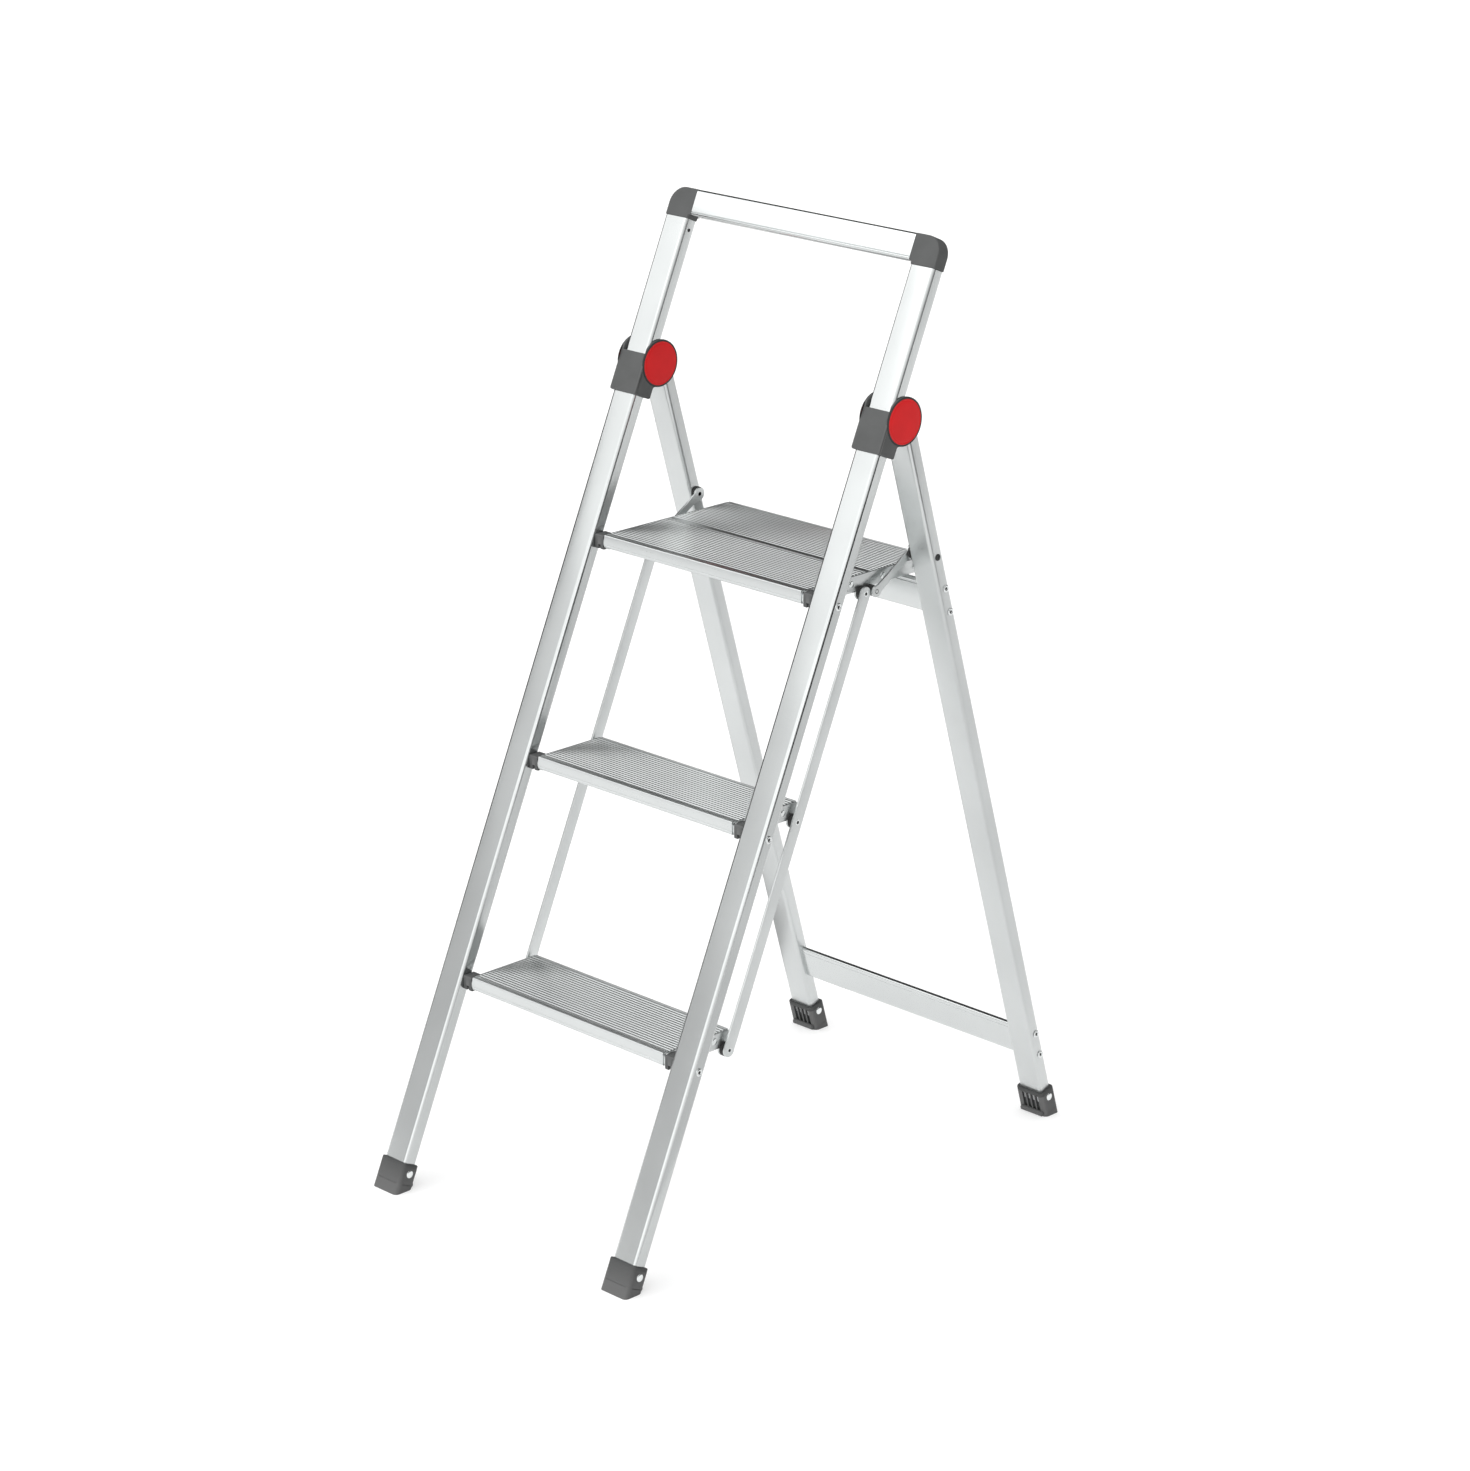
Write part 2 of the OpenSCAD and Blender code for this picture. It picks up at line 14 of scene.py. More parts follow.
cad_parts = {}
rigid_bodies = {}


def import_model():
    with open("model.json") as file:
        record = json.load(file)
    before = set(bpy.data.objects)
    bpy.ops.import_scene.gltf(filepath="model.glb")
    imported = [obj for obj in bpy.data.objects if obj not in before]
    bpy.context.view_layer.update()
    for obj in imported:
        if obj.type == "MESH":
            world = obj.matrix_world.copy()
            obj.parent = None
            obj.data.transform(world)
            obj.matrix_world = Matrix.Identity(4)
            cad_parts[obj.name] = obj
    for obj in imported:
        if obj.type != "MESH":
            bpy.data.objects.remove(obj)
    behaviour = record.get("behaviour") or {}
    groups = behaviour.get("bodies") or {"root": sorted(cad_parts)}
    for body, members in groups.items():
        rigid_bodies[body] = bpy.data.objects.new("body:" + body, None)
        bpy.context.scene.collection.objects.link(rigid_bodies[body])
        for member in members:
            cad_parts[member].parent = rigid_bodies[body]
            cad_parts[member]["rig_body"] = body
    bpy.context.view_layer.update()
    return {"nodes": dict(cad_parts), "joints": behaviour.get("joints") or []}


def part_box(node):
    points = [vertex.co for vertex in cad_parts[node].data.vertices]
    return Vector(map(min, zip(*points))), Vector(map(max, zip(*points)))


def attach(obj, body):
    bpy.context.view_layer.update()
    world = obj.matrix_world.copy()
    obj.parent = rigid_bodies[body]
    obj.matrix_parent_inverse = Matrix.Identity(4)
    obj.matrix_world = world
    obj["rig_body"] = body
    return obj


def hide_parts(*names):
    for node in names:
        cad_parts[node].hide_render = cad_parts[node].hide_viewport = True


MM = 0.001

# camera, matched to the viewing angle of the object
CAMERA_AZIMUTH = 44.96
CAMERA_ELEVATION = 18.62
CAMERA_DISTANCE = 4.665
CAMERA_LENS = 103.37
CAMERA_AIM = Vector((0.020, 0.0, 0.503))

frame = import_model()

joints = {j["name"]: j for j in frame["joints"]}
hinge = Vector(joints["fold"]["pos_m"])
# the treads fold flat against the rails, and the legs flat behind them
FRONT_LEAN = radians(90 - joints["platform_tilt"]["range_deg"][1])
REAR_LEAN = radians(joints["fold"]["range_deg"][1]) - FRONT_LEAN


# ---------- frames ----------

def node_box(node, place):
    """Lowest and highest corner of a CAD node, measured in the axes of a place."""
    back = place.inverted()
    points = [back @ v.co for v in frame["nodes"][node].data.vertices]
    return tuple(Vector([pick(p[i] for p in points) for i in range(3)]) for pick in (min, max))


def leaning_place(node, lean):
    """Axes of a leaning tube: X across, Y behind its front face, Z along it from the floor."""
    turn = Matrix.Rotation(lean, 4, "X")
    front = node_box(node, turn)[0].y
    return Matrix.Translation((0, front / cos(lean), 0)) @ turn


RAIL = leaning_place("rail_right", -FRONT_LEAN)
LEG = leaning_place("leg_right", REAR_LEAN)


def tread_place(node):
    """Axes of a tread, from its top front edge."""
    lo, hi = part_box(node)
    return Matrix.Translation((0, lo.y, hi.z))


# ---------- outlines ----------

def arc(centre, radius, start, end, steps):
    """Points of an arc between two angles in degrees."""
    angles = [radians(start + (end - start) * i / steps) for i in range(steps + 1)]
    return [(centre[0] + radius * cos(a), centre[1] + radius * sin(a)) for a in angles]


# corners nearer to straight than this, in radians, are left alone
NEARLY_STRAIGHT = 0.01


def rounded(corners, steps=6):
    """Closed outline from corners (u, v) or (u, v, radius), anticlockwise."""
    outline = []
    count = len(corners)
    for i, corner in enumerate(corners):
        here = Vector(corner[:2])
        radius = corner[2] if len(corner) > 2 else 0
        to_last = (Vector(corners[i - 1][:2]) - here).normalized()
        to_next = (Vector(corners[(i + 1) % count][:2]) - here).normalized()
        opening = acos(max(-1, min(1, to_last.dot(to_next))))
        if radius == 0 or opening > pi - NEARLY_STRAIGHT:
            outline.append(tuple(here))
            continue
        centre = here + (to_last + to_next).normalized() * radius / sin(opening / 2)
        first = here + to_last * radius / tan(opening / 2) - centre
        last = here + to_next * radius / tan(opening / 2) - centre
        start = atan2(first.y, first.x)
        sweep = (atan2(last.y, last.x) - start + pi) % (2 * pi) - pi
        for k in range(steps + 1):
            a = start + sweep * k / steps
            outline.append((centre.x + radius * cos(a), centre.y + radius * sin(a)))
    return outline


def box_outline(lo, hi, radius, steps=6):
    """Rectangle between two corners, with rounded corners of its own."""
    return rounded([(lo[0], lo[1], radius), (hi[0], lo[1], radius),
                    (hi[0], hi[1], radius), (lo[0], hi[1], radius)], steps)


# ---------- solids ----------

# how an outline (u, v) and a distance w along the extrusion become X, Y, Z
PLANES = {
    "X": lambda u, v, w: Vector((w, u, v)),
    "Y": lambda u, v, w: Vector((u, w, v)),
    "Z": lambda u, v, w: Vector((u, v, w)),
}
# how far an outline's sharp corners are carried out or in, as a multiple of its sides' own inset
LONGEST_MITRE = 2
# facets of a quarter turn on rounded ends, and of a rivet's domed or rolled head
END_STEPS = 4
HEAD_STEPS = 8


def both(edge):
    """The same rounding for a prism's start and its end."""
    return (edge, edge)


def rounded_end(w, inward, edge):
    """Rings (distance, inset) that round the end of a prism off, from its side to its end."""
    if edge == 0:
        return [(w, 0)]
    turn = [pi / 2 * i / END_STEPS for i in range(END_STEPS + 1)]
    return [(w + inward * edge * (1 - sin(a)), edge * (1 - cos(a))) for a in turn]


def add_prism(mesh, outline, axis, start, end, place, edges=(0, 0)):
    """Adds an extruded outline; edges are the roundings of its start and its end."""
    rings = rounded_end(start, 1, edges[0])[::-1] + rounded_end(end, -1, edges[1])
    normals = outline_normals(outline)
    loops = []
    for w, inset in rings:
        loops.append([mesh.verts.new(place @ PLANES[axis](u - n[0] * inset, v - n[1] * inset, w))
                      for (u, v), n in zip(outline, normals)])
    count = len(outline)
    for a, b in zip(loops, loops[1:]):
        for i in range(count):
            mesh.faces.new((a[i], a[(i + 1) % count], b[(i + 1) % count], b[i]))
    mesh.faces.new(loops[0][::-1])
    mesh.faces.new(loops[-1])


def outline_normals(outline):
    """Outward mitred normal at each point of an anticlockwise outline."""
    normals = []
    count = len(outline)
    for i, point in enumerate(outline):
        here = Vector(point)
        a = (here - Vector(outline[i - 1])).normalized()
        b = (Vector(outline[(i + 1) % count]) - here).normalized()
        side = Vector((a.y + b.y, -a.x - b.x))
        side.normalize()
        stretch = 1 / max(1 / LONGEST_MITRE, side.dot(Vector((a.y, -a.x))))
        normals.append(side * stretch)
    return normals


def add_turned(mesh, profile, place, centre, steps=40):
    """Adds a turned solid: profile is (x, radius) pairs, its axis runs along X."""
    loops = []
    for x, radius in profile:
        if radius == 0:
            loops.append([mesh.verts.new(place @ Vector((x, centre[0], centre[1])))])
            continue
        ring = [2 * pi * i / steps for i in range(steps)]
        loops.append([mesh.verts.new(place @ Vector((x, centre[0] + radius * cos(a),
                                                     centre[1] + radius * sin(a)))) for a in ring])
    for a, b in zip(loops, loops[1:]):
        for i in range(steps):
            k = (i + 1) % steps
            corners = [a[i % len(a)], a[k % len(a)], b[k % len(b)], b[i % len(b)]]
            unique = list(dict.fromkeys(corners))
            if len(unique) > 2:
                mesh.faces.new(unique)


def dome(x, radius, height, direction=1):
    """Profile of a low domed head that stands on x and ends at its tip."""
    edge = 0.3 * MM
    points = [(x, radius)]
    for i in range(HEAD_STEPS):
        a = pi / 2 * i / HEAD_STEPS
        points.append((x + direction * (edge + (height - edge) * sin(a)), radius * cos(a)))
    return points + [(x + direction * height, 0)]


def tube_end(x, radius, bore, rise, depth):
    """Profile of a rolled tubular rivet end, round a bore whose floor is that depth below x."""
    middle = (radius + bore) / 2
    half = (radius - bore) / 2
    lip = [(x + rise * sin(a), middle + half * cos(a))
           for a in [pi * i / HEAD_STEPS for i in range(HEAD_STEPS + 1)]]
    return lip + [(x - depth, bore), (x - depth, 0)]


def show(node, mesh, *materials, sharp=radians(32), mirrored=False):
    """Turns a mesh into the visible piece that stands for a CAD node."""
    if mirrored:
        bmesh.ops.scale(mesh, vec=(-1, 1, 1), verts=mesh.verts)
    bmesh.ops.recalc_face_normals(mesh, faces=mesh.faces)
    data = bpy.data.meshes.new(node + "_look")
    mesh.to_mesh(data)
    mesh.free()
    data.shade_smooth()
    data.set_sharp_from_angle(angle=sharp)
    piece = bpy.data.objects.new(node + "_look", data)
    bpy.context.scene.collection.objects.link(piece)
    for material in materials:
        data.materials.append(material)
    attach(piece, frame["nodes"][node]["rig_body"])
    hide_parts(node)
    return piece


def both_sides():
    """Name of each side, and whether its pieces mirror the right-hand ones."""
    return (("right", False), ("left", True))


# ---------- materials ----------

# noise scales: broad tones, smudges, and the fine lines of drawing or brushing
METAL_TONES = 9
METAL_SMUDGES = 30
METAL_LINES = 900
PLASTIC_TONES = 40
# how far roughness strays either way from the material's own
METAL_UNEVEN = 0.03
PLASTIC_UNEVEN = 0.05
# the part of the noise's range that is put to use, for roughness and for colour
NOISE_LOW = 0.3
NOISE_HIGH = 0.7
TINT_LOW = 0.35
TINT_HIGH = 0.65
EDGE_SHINE = 1.06
# pointiness at which the wear of an edge sets in, and where it is full
EDGE_POINTINESS = (0.53, 0.62)


def new_material(name):
    """An empty material and its shader."""
    material = bpy.data.materials.new(name)
    material.use_nodes = True
    return material, material.node_tree.nodes["Principled BSDF"]


def link(tree, source, output, target, socket):
    """Joins a node's output to another's socket, both given by name."""
    tree.links.new(source.outputs[output], target.inputs[socket])


def object_noise(tree, scale, detail, stretch=(1, 1, 1), turn=0.0):
    """Noise in the object's own axes, stretched along the grain."""
    place = tree.nodes.new("ShaderNodeTexCoord")
    mapping = tree.nodes.new("ShaderNodeMapping")
    mapping.inputs["Rotation"].default_value = (turn, 0, 0)
    mapping.inputs["Scale"].default_value = stretch
    mapping.vector_type = "POINT"
    noise = tree.nodes.new("ShaderNodeTexNoise")
    noise.inputs["Scale"].default_value = scale
    noise.inputs["Detail"].default_value = detail
    link(tree, place, "Object", mapping, "Vector")
    link(tree, mapping, "Vector", noise, "Vector")
    return noise


def remap(tree, source, output, low, high, to_low, to_high):
    """Carries a value from one range over to another."""
    span = tree.nodes.new("ShaderNodeMapRange")
    for name, value in (("From Min", low), ("From Max", high), ("To Min", to_low), ("To Max", to_high)):
        span.inputs[name].default_value = value
    link(tree, source, output, span, "Value")
    return span


def tints(tree, source, output, dark, light):
    """Colours between a dark and a light tone."""
    ramp = tree.nodes.new("ShaderNodeValToRGB")
    ramp.color_ramp.elements[0].position = TINT_LOW
    ramp.color_ramp.elements[1].position = TINT_HIGH
    ramp.color_ramp.elements[0].color = (*dark, 1)
    ramp.color_ramp.elements[1].color = (*light, 1)
    link(tree, source, output, ramp, "Fac")
    return ramp


def worn_edges(tree, colour, worn):
    """Mixes the worn colour in along edges and corners."""
    geometry = tree.nodes.new("ShaderNodeNewGeometry")
    edge = remap(tree, geometry, "Pointiness", *EDGE_POINTINESS, 0.0, 1.0)
    mix = tree.nodes.new("ShaderNodeMix")
    mix.data_type = "RGBA"
    mix.inputs["B"].default_value = (*worn, 1)
    link(tree, edge, "Result", mix, "Factor")
    link(tree, colour, "Color", mix, "A")
    return mix


def bump(tree, source, output, depth, strength, under=None):
    """Surface relief, over that of another bump if there is one."""
    node = tree.nodes.new("ShaderNodeBump")
    node.inputs["Strength"].default_value = strength
    node.inputs["Distance"].default_value = depth
    link(tree, source, output, node, "Height")
    if under:
        link(tree, under, "Normal", node, "Normal")
    return node


def metal(name, tone_low, tone_high, rough, grain=(1, 1, 1), turn=0.0):
    """Satin metal with drawn lines along its grain, faint tone changes and brighter edges."""
    material, shader = new_material(name)
    tree = material.node_tree
    shader.inputs["Metallic"].default_value = 1.0
    tone = object_noise(tree, METAL_TONES, 3, turn=turn)
    colour = tints(tree, tone, "Fac", cool(tone_low), cool(tone_high))
    worn = worn_edges(tree, colour, cool(min(1, tone_high * EDGE_SHINE)))
    link(tree, worn, "Result", shader, "Base Color")
    lines = object_noise(tree, METAL_LINES, 4, grain, turn)
    gloss = remap(tree, lines, "Fac", NOISE_LOW, NOISE_HIGH, rough - METAL_UNEVEN, rough + METAL_UNEVEN)
    link(tree, gloss, "Result", shader, "Roughness")
    smudges = object_noise(tree, METAL_SMUDGES, 4)
    under = bump(tree, smudges, "Fac", 0.1 * MM, 0.15)
    surface = bump(tree, lines, "Fac", 0.02 * MM, 0.15, under)
    link(tree, surface, "Normal", shader, "Normal")
    return material


def plastic(name, dark, light, rough, worn, gleam=0.3, pebble=2200, depth=0.03 * MM):
    """Moulded plastic with a fine pebbled skin and lighter, rubbed edges."""
    material, shader = new_material(name)
    tree = material.node_tree
    shader.inputs["Specular IOR Level"].default_value = gleam
    tone = object_noise(tree, PLASTIC_TONES, 4)
    colour = tints(tree, tone, "Fac", dark, light)
    rubbed = worn_edges(tree, colour, worn)
    link(tree, rubbed, "Result", shader, "Base Color")
    skin = object_noise(tree, pebble, 2)
    gloss = remap(tree, tone, "Fac", NOISE_LOW, NOISE_HIGH, rough - PLASTIC_UNEVEN, rough + PLASTIC_UNEVEN)
    link(tree, gloss, "Result", shader, "Roughness")
    surface = bump(tree, skin, "Fac", depth, 0.6)
    link(tree, surface, "Normal", shader, "Normal")
    return material


def grey(value):
    """Neutral grey."""
    return [value, value, value]


def cool(value):
    """The faintly blue-green grey of anodised aluminium."""
    return [value * 0.97, value, value * 0.997]


# drawn lines run along a piece, so its noise is stretched along it
ALONG_X = (0.02, 1, 1)
ALONG_Y = (1, 0.03, 1)
ALONG_Z = (1, 1, 0.02)
rail_metal = metal("rail_anodised", 0.52, 0.56, 0.20, ALONG_Z, FRONT_LEAN)
leg_metal = metal("leg_anodised", 0.595, 0.635, 0.32, ALONG_Z, -REAR_LEAN)
bar_metal = metal("bar_anodised", 0.64, 0.68, 0.22, ALONG_X)
crossbar_metal = metal("crossbar_anodised", 0.595, 0.635, 0.20, ALONG_X)
# the lips and the deck are one tread metal in two tones, painted light and shade for how light falls on the
# front and on the top
lip_metal = metal("tread_lip", 0.58, 0.62, 0.30, ALONG_X)
deck_metal = metal("tread_deck", 0.62, 0.66, 0.32, ALONG_X)
# dark metal that paints shade into recesses: the treads' front grooves and the floors of rivet bores
recess_shade_metal = metal("recess_painted_shade", 0.06, 0.09, 0.6, ALONG_X)
sheet_metal = metal("sheet_satin", 0.60, 0.66, 0.32, ALONG_Y)
rod_metal = metal("rod_zinc", 0.62, 0.68, 0.34, ALONG_Z, FRONT_LEAN)
rivet_metal = metal("rivet_plain", 0.74, 0.82, 0.16)
pivot_metal = metal("pivot_blackened", 0.04, 0.07, 0.35)
grey_plastic = plastic("plastic_grey", cool(0.068), cool(0.080), 0.6, grey(0.17))
foot_plastic = plastic("plastic_foot", cool(0.048), cool(0.056), 0.6, grey(0.12))
black_plastic = plastic("plastic_black", grey(0.012), grey(0.018), 0.5, grey(0.04))
red_plastic = plastic("plastic_red", (0.54, 0.004, 0.006), (0.60, 0.006, 0.008), 0.45,
                      (0.70, 0.05, 0.05), 0.15, 900, 0.01 * MM)


# ---------- rails, legs and handle ----------

TUBE_CORNER = 4 * MM
CUT_EDGE = 0.4 * MM


def make_tube(node, place, material, mirrored):
    """Rounded extrusion with a soft edge at its two cut ends."""
    lo, hi = node_box(node.replace("left", "right"), place)
    mesh = bmesh.new()
    outline = box_outline((lo.x, lo.y), (hi.x, hi.y), TUBE_CORNER, 8)
    add_prism(mesh, outline, "Z", lo.z, hi.z, place, both(CUT_EDGE))
    show(node, mesh, material, mirrored=mirrored)


for side, mirrored in both_sides():
    make_tube("rail_" + side, RAIL, rail_metal, mirrored)
    make_tube("leg_" + side, LEG, leg_metal, mirrored)

rail_lo, rail_hi = node_box("rail_right", RAIL)
leg_lo, leg_hi = node_box("leg_right", LEG)
rail_mid = (rail_lo.x + rail_hi.x) / 2
hinge_at = RAIL.inverted() @ hinge
hinge_on_leg = LEG.inverted() @ hinge


def make_handle_bar():
    """Handle extrusion: flat front, a shadow groove and a rounded grip edge below."""
    lo, hi = node_box("handle_bar", RAIL)
    groove = lo.z + 3.4 * MM
    notch = 0.9 * MM
    crease = 0.3 * MM
    outline = rounded([
        (hi.y, lo.z, 5 * MM), (hi.y, hi.z, 2 * MM), (lo.y, hi.z, 3.2 * MM),
        (lo.y, groove + notch, crease), (lo.y + notch, groove), (lo.y, groove - crease, crease),
        (lo.y, lo.z, 2.5 * MM),
    ])
    mesh = bmesh.new()
    add_prism(mesh, outline, "X", lo.x, hi.x, RAIL, both(crease))
    show("handle_bar", mesh, bar_metal)


make_handle_bar()


def make_corner(side, mirrored):
    """Moulded corner that joins a rail to the handle bar, with a round shoulder."""
    hi = node_box("corner_right", RAIL)[1]
    bar_lo, bar_hi = node_box("handle_bar", RAIL)
    inner = bar_hi.x
    step = rail_hi.z
    shoulder = 20 * MM
    soft = 1.2 * MM
    inner_soft = 1.5 * MM
    outline = rounded([
        (rail_lo.x, step, soft), (hi.x, step, soft), (hi.x, hi.z, shoulder),
        (inner, hi.z, soft), (inner, bar_lo.z, soft), (rail_lo.x, bar_lo.z, inner_soft),
    ], 10)
    mesh = bmesh.new()
    add_prism(mesh, outline, "Y", 0, rail_hi.y, RAIL, both(1.1 * MM))
    show("corner_" + side, mesh, grey_plastic, mirrored=mirrored)


for side, mirrored in both_sides():
    make_corner(side, mirrored)


# ---------- hinge ----------

def make_bracket(side, mirrored):
    """Moulded hinge bracket: a sleeve round the rail and a round lobe on each cheek."""
    lo, hi = node_box("bracket_right", RAIL)
    wall = rail_lo.x - lo.x
    lobe = hi.z - hinge_at.z
    front = lo.y
    sleeve = 23 * MM
    meet = hinge_at.z - sqrt(lobe ** 2 - (sleeve - hinge_at.y) ** 2)
    top = hinge_at.z + sqrt(lobe ** 2 - (front - hinge_at.y) ** 2)
    clipped = 180 - degrees(atan2(top - hinge_at.z, hinge_at.y - front))
    fillet = 3 * MM
    soft = 2.5 * MM
    sleeve_top = hinge_at.z + 4.5 * MM
    web_top = lo.z + 18 * MM
    web_over = 1 * MM
    cheek = arc((front + soft, lo.z + soft), soft, 180, 270, 6)
    cheek += arc((sleeve - soft, lo.z + soft), soft, 270, 360, 6)
    cheek += arc((sleeve + fillet, meet - fillet), fillet, 180, 96, 5)
    cheek += arc((hinge_at.y, hinge_at.z), lobe, -82, clipped, 40)
    mesh = bmesh.new()
    for x in (lo.x, rail_hi.x):
        add_prism(mesh, cheek, "X", x, x + wall, RAIL, both(0.9 * MM))
    plate = rounded([(lo.x, front, 2.2 * MM), (hi.x, front, 2.2 * MM), (hi.x, 0), (lo.x, 0)])
    add_prism(mesh, plate, "Z", lo.z, sleeve_top, RAIL, both(0.8 * MM))
    web = box_outline((rail_lo.x - web_over, rail_hi.y), (rail_hi.x + web_over, rail_hi.y + wall), 0.5 * MM)
    add_prism(mesh, web, "Z", lo.z, web_top, RAIL, both(0.5 * MM))
    # low black ring that the cover disc sits in
    moulded = len(mesh.faces)
    centre = (hinge_at.y, hinge_at.z)
    cap_lo, cap_hi = node_box("hinge_caps", RAIL)
    cap_radius = (cap_hi.z - cap_lo.z) / 2
    high = 0.6 * MM
    sunk = 1 * MM
    for x, out in ((hi.x, 1), (lo.x, -1)):
        ring = [(x - out * sunk, lobe - 0.2 * MM), (x + out * high / 2, lobe - 0.25 * MM),
                (x + out * high, lobe - high), (x + out * high, cap_radius + 0.1 * MM),
                (x - out * sunk, cap_radius - 0.5 * MM)]
        add_turned(mesh, ring, RAIL, centre, 96)
    mesh.faces.ensure_lookup_table()
    for face in mesh.faces[moulded:]:
        face.material_index = 1
    show("bracket_" + side, mesh, grey_plastic, black_plastic, mirrored=mirrored)


def make_hinge_caps():
    """Glossy cover discs, faintly domed inside a narrow stepped rim."""
    lo, hi = node_box("hinge_caps", RAIL)
    bracket_lo, bracket_hi = node_box("bracket_right", RAIL)
    radius = (hi.z - lo.z) / 2
    height = hi.x - bracket_hi.x
    # heights of the rim, of the step inside it and of the dome's edge, as shares of the cover's own
    rim = 0.62
    valley = 0.45
    dish = 0.55
    dish_radius = radius - 2.4 * MM
    # (share of the height, radius) from the edge to the middle
    profile = [(0, radius), (valley, radius - 0.1 * MM), (rim, radius - 0.5 * MM),
               (rim, radius - 1.5 * MM), (valley, radius - 1.9 * MM), (dish, dish_radius)]
    steps = 10
    turn = [pi / 2 * i / steps for i in range(1, steps)]
    profile += [(dish + (1 - dish) * sin(a), dish_radius * cos(a)) for a in turn] + [(1.0, 0)]
    mesh = bmesh.new()
    for mirror in (1, -1):
        for x, out in ((bracket_hi.x, mirror), (bracket_lo.x, -mirror)):
            at = [(x * mirror + out * part * height, r) for part, r in profile]
            add_turned(mesh, at, RAIL, (hinge_at.y, hinge_at.z), 96)
    show("hinge_caps", mesh, red_plastic, sharp=radians(50))


# radius of the hinge pins and of the rivets that things turn on
PIN = 3 * MM


def make_hinge_pins():
    """Pins through both cheeks of each bracket, hidden under the covers."""
    lo, hi = node_box("bracket_right", RAIL)
    bevel = 0.4 * MM
    mesh = bmesh.new()
    for sign in (1, -1):
        start, end = sorted((sign * lo.x, sign * hi.x))
        profile = [(start, 0), (start, PIN - bevel), (start + bevel, PIN),
                   (end - bevel, PIN), (end, PIN - bevel), (end, 0)]
        add_turned(mesh, profile, RAIL, (hinge_at.y, hinge_at.z), 24)
    show("hinge_pins", mesh, rivet_metal)


def make_knuckle(side, mirrored):
    """Plastic end of a rear leg that turns on the hinge pin."""
    lo, hi = node_box("knuckle_right", LEG)
    shoulder = hinge_on_leg.z - 2 * MM
    outline = rounded([
        (lo.y, shoulder, 2 * MM), (0, leg_hi.z), (hi.y, leg_hi.z), (hi.y, shoulder, 3 * MM),
        (hi.y - 5 * MM, hi.z, 3 * MM), (lo.y + 1 * MM, hi.z, 4 * MM),
    ])
    mesh = bmesh.new()
    add_prism(mesh, outline, "X", lo.x, hi.x, LEG, both(0.8 * MM))
    show("knuckle_" + side, mesh, grey_plastic, mirrored=mirrored)


for side, mirrored in both_sides():
    make_bracket(side, mirrored)
    make_knuckle(side, mirrored)
make_hinge_caps()
make_hinge_pins()


# ---------- feet ----------

def foot_mesh(place, node, inward):
    """Moulded foot cut off level at the floor, with gripping slots in its inward face.

    inward is 1 where that face lies behind the tube's front face, -1 where it lies before it.
    """
    lo, hi = node_box(node, place)
    wall = 3 * MM
    waist = 1 * MM
    bead = 3.2 * MM
    inner = rail_hi.y + wall if inward == 1 else -wall
    outer = -wall if inward == 1 else rail_hi.y + wall
    sole = inner * tan(FRONT_LEAN) if inward == 1 else -inner * tan(REAR_LEAN)
    bead_at = sole + 3.5 * MM
    rim = hi.z - 4.5 * MM
    slot_pitch = 6.7 * MM
    slot_half = 2.4 * MM
    slot_deep = 2.6 * MM
    corner = 5 * MM
    face_corner = 3 * MM
    edge = 0.5 * MM
    below_floor = -20 * MM
    face = inner - inward * waist
    deep = face - inward * slot_deep
    corners = [(lo.x, outer, corner), (hi.x, outer, corner), (hi.x, face, face_corner)]
    for i in (1.5, 0.5, -0.5, -1.5):
        x = rail_mid + i * slot_pitch
        corners += [(x + slot_half, face, edge), (x + slot_half, deep), (x - slot_half, deep),
                    (x - slot_half, face, edge)]
    corners += [(lo.x, face, face_corner)]
    if inward == -1:
        corners = corners[::-1]
    low, high = sorted((inner, outer))
    plain = box_outline((lo.x, low), (hi.x, high), corner, 8)
    mesh = bmesh.new()
    add_prism(mesh, plain, "Z", below_floor, bead_at, place)
    add_prism(mesh, rounded(corners, 4), "Z", bead_at - edge, rim + edge, place)
    add_prism(mesh, plain, "Z", rim, hi.z, place, (edge, 0.9 * MM))
    # toe bead along the inward lower edge, tapered towards its ends
    ends = [(lo.x + bead, 0), (lo.x + bead * 1.1, bead * 0.6), (lo.x + bead * 1.5, bead)]
    profile = ends + [(hi.x + lo.x - x, r) for x, r in ends[::-1]]
    add_turned(mesh, profile, place, (inner, bead_at), 32)
    floor_cut(mesh)
    return mesh


def floor_cut(mesh):
    """Cuts everything below the floor away and closes the sole."""
    geometry = mesh.verts[:] + mesh.edges[:] + mesh.faces[:]
    cut = bmesh.ops.bisect_plane(mesh, geom=geometry, plane_co=(0, 0, 0), plane_no=(0, 0, 1),
                                 clear_inner=True)
    edges = [e for e in cut["geom_cut"] if isinstance(e, bmesh.types.BMEdge)]
    bmesh.ops.contextual_create(mesh, geom=edges)


def make_feet():
    """All four feet; the front ones turn their slots backwards and the rear ones forwards."""
    for side, mirrored in both_sides():
        front = foot_mesh(RAIL, "foot_front_right", 1)
        show("foot_front_" + side, front, foot_plastic, mirrored=mirrored)
        rear = foot_mesh(LEG, "foot_rear_right", -1)
        show("foot_rear_" + side, rear, foot_plastic, mirrored=mirrored)


make_feet()


# ---------- rivets ----------

# how far the shanks of the domed and the tubular rivets reach inside
SHANK_LENGTH = 14 * MM
# how high a tubular rivet's rolled end curls
HOLLOW_RISE = 0.6 * MM


def paired(sign, ends):
    """A turned profile on the side of that sign."""
    return [(sign * x, r) for x, r in ends]


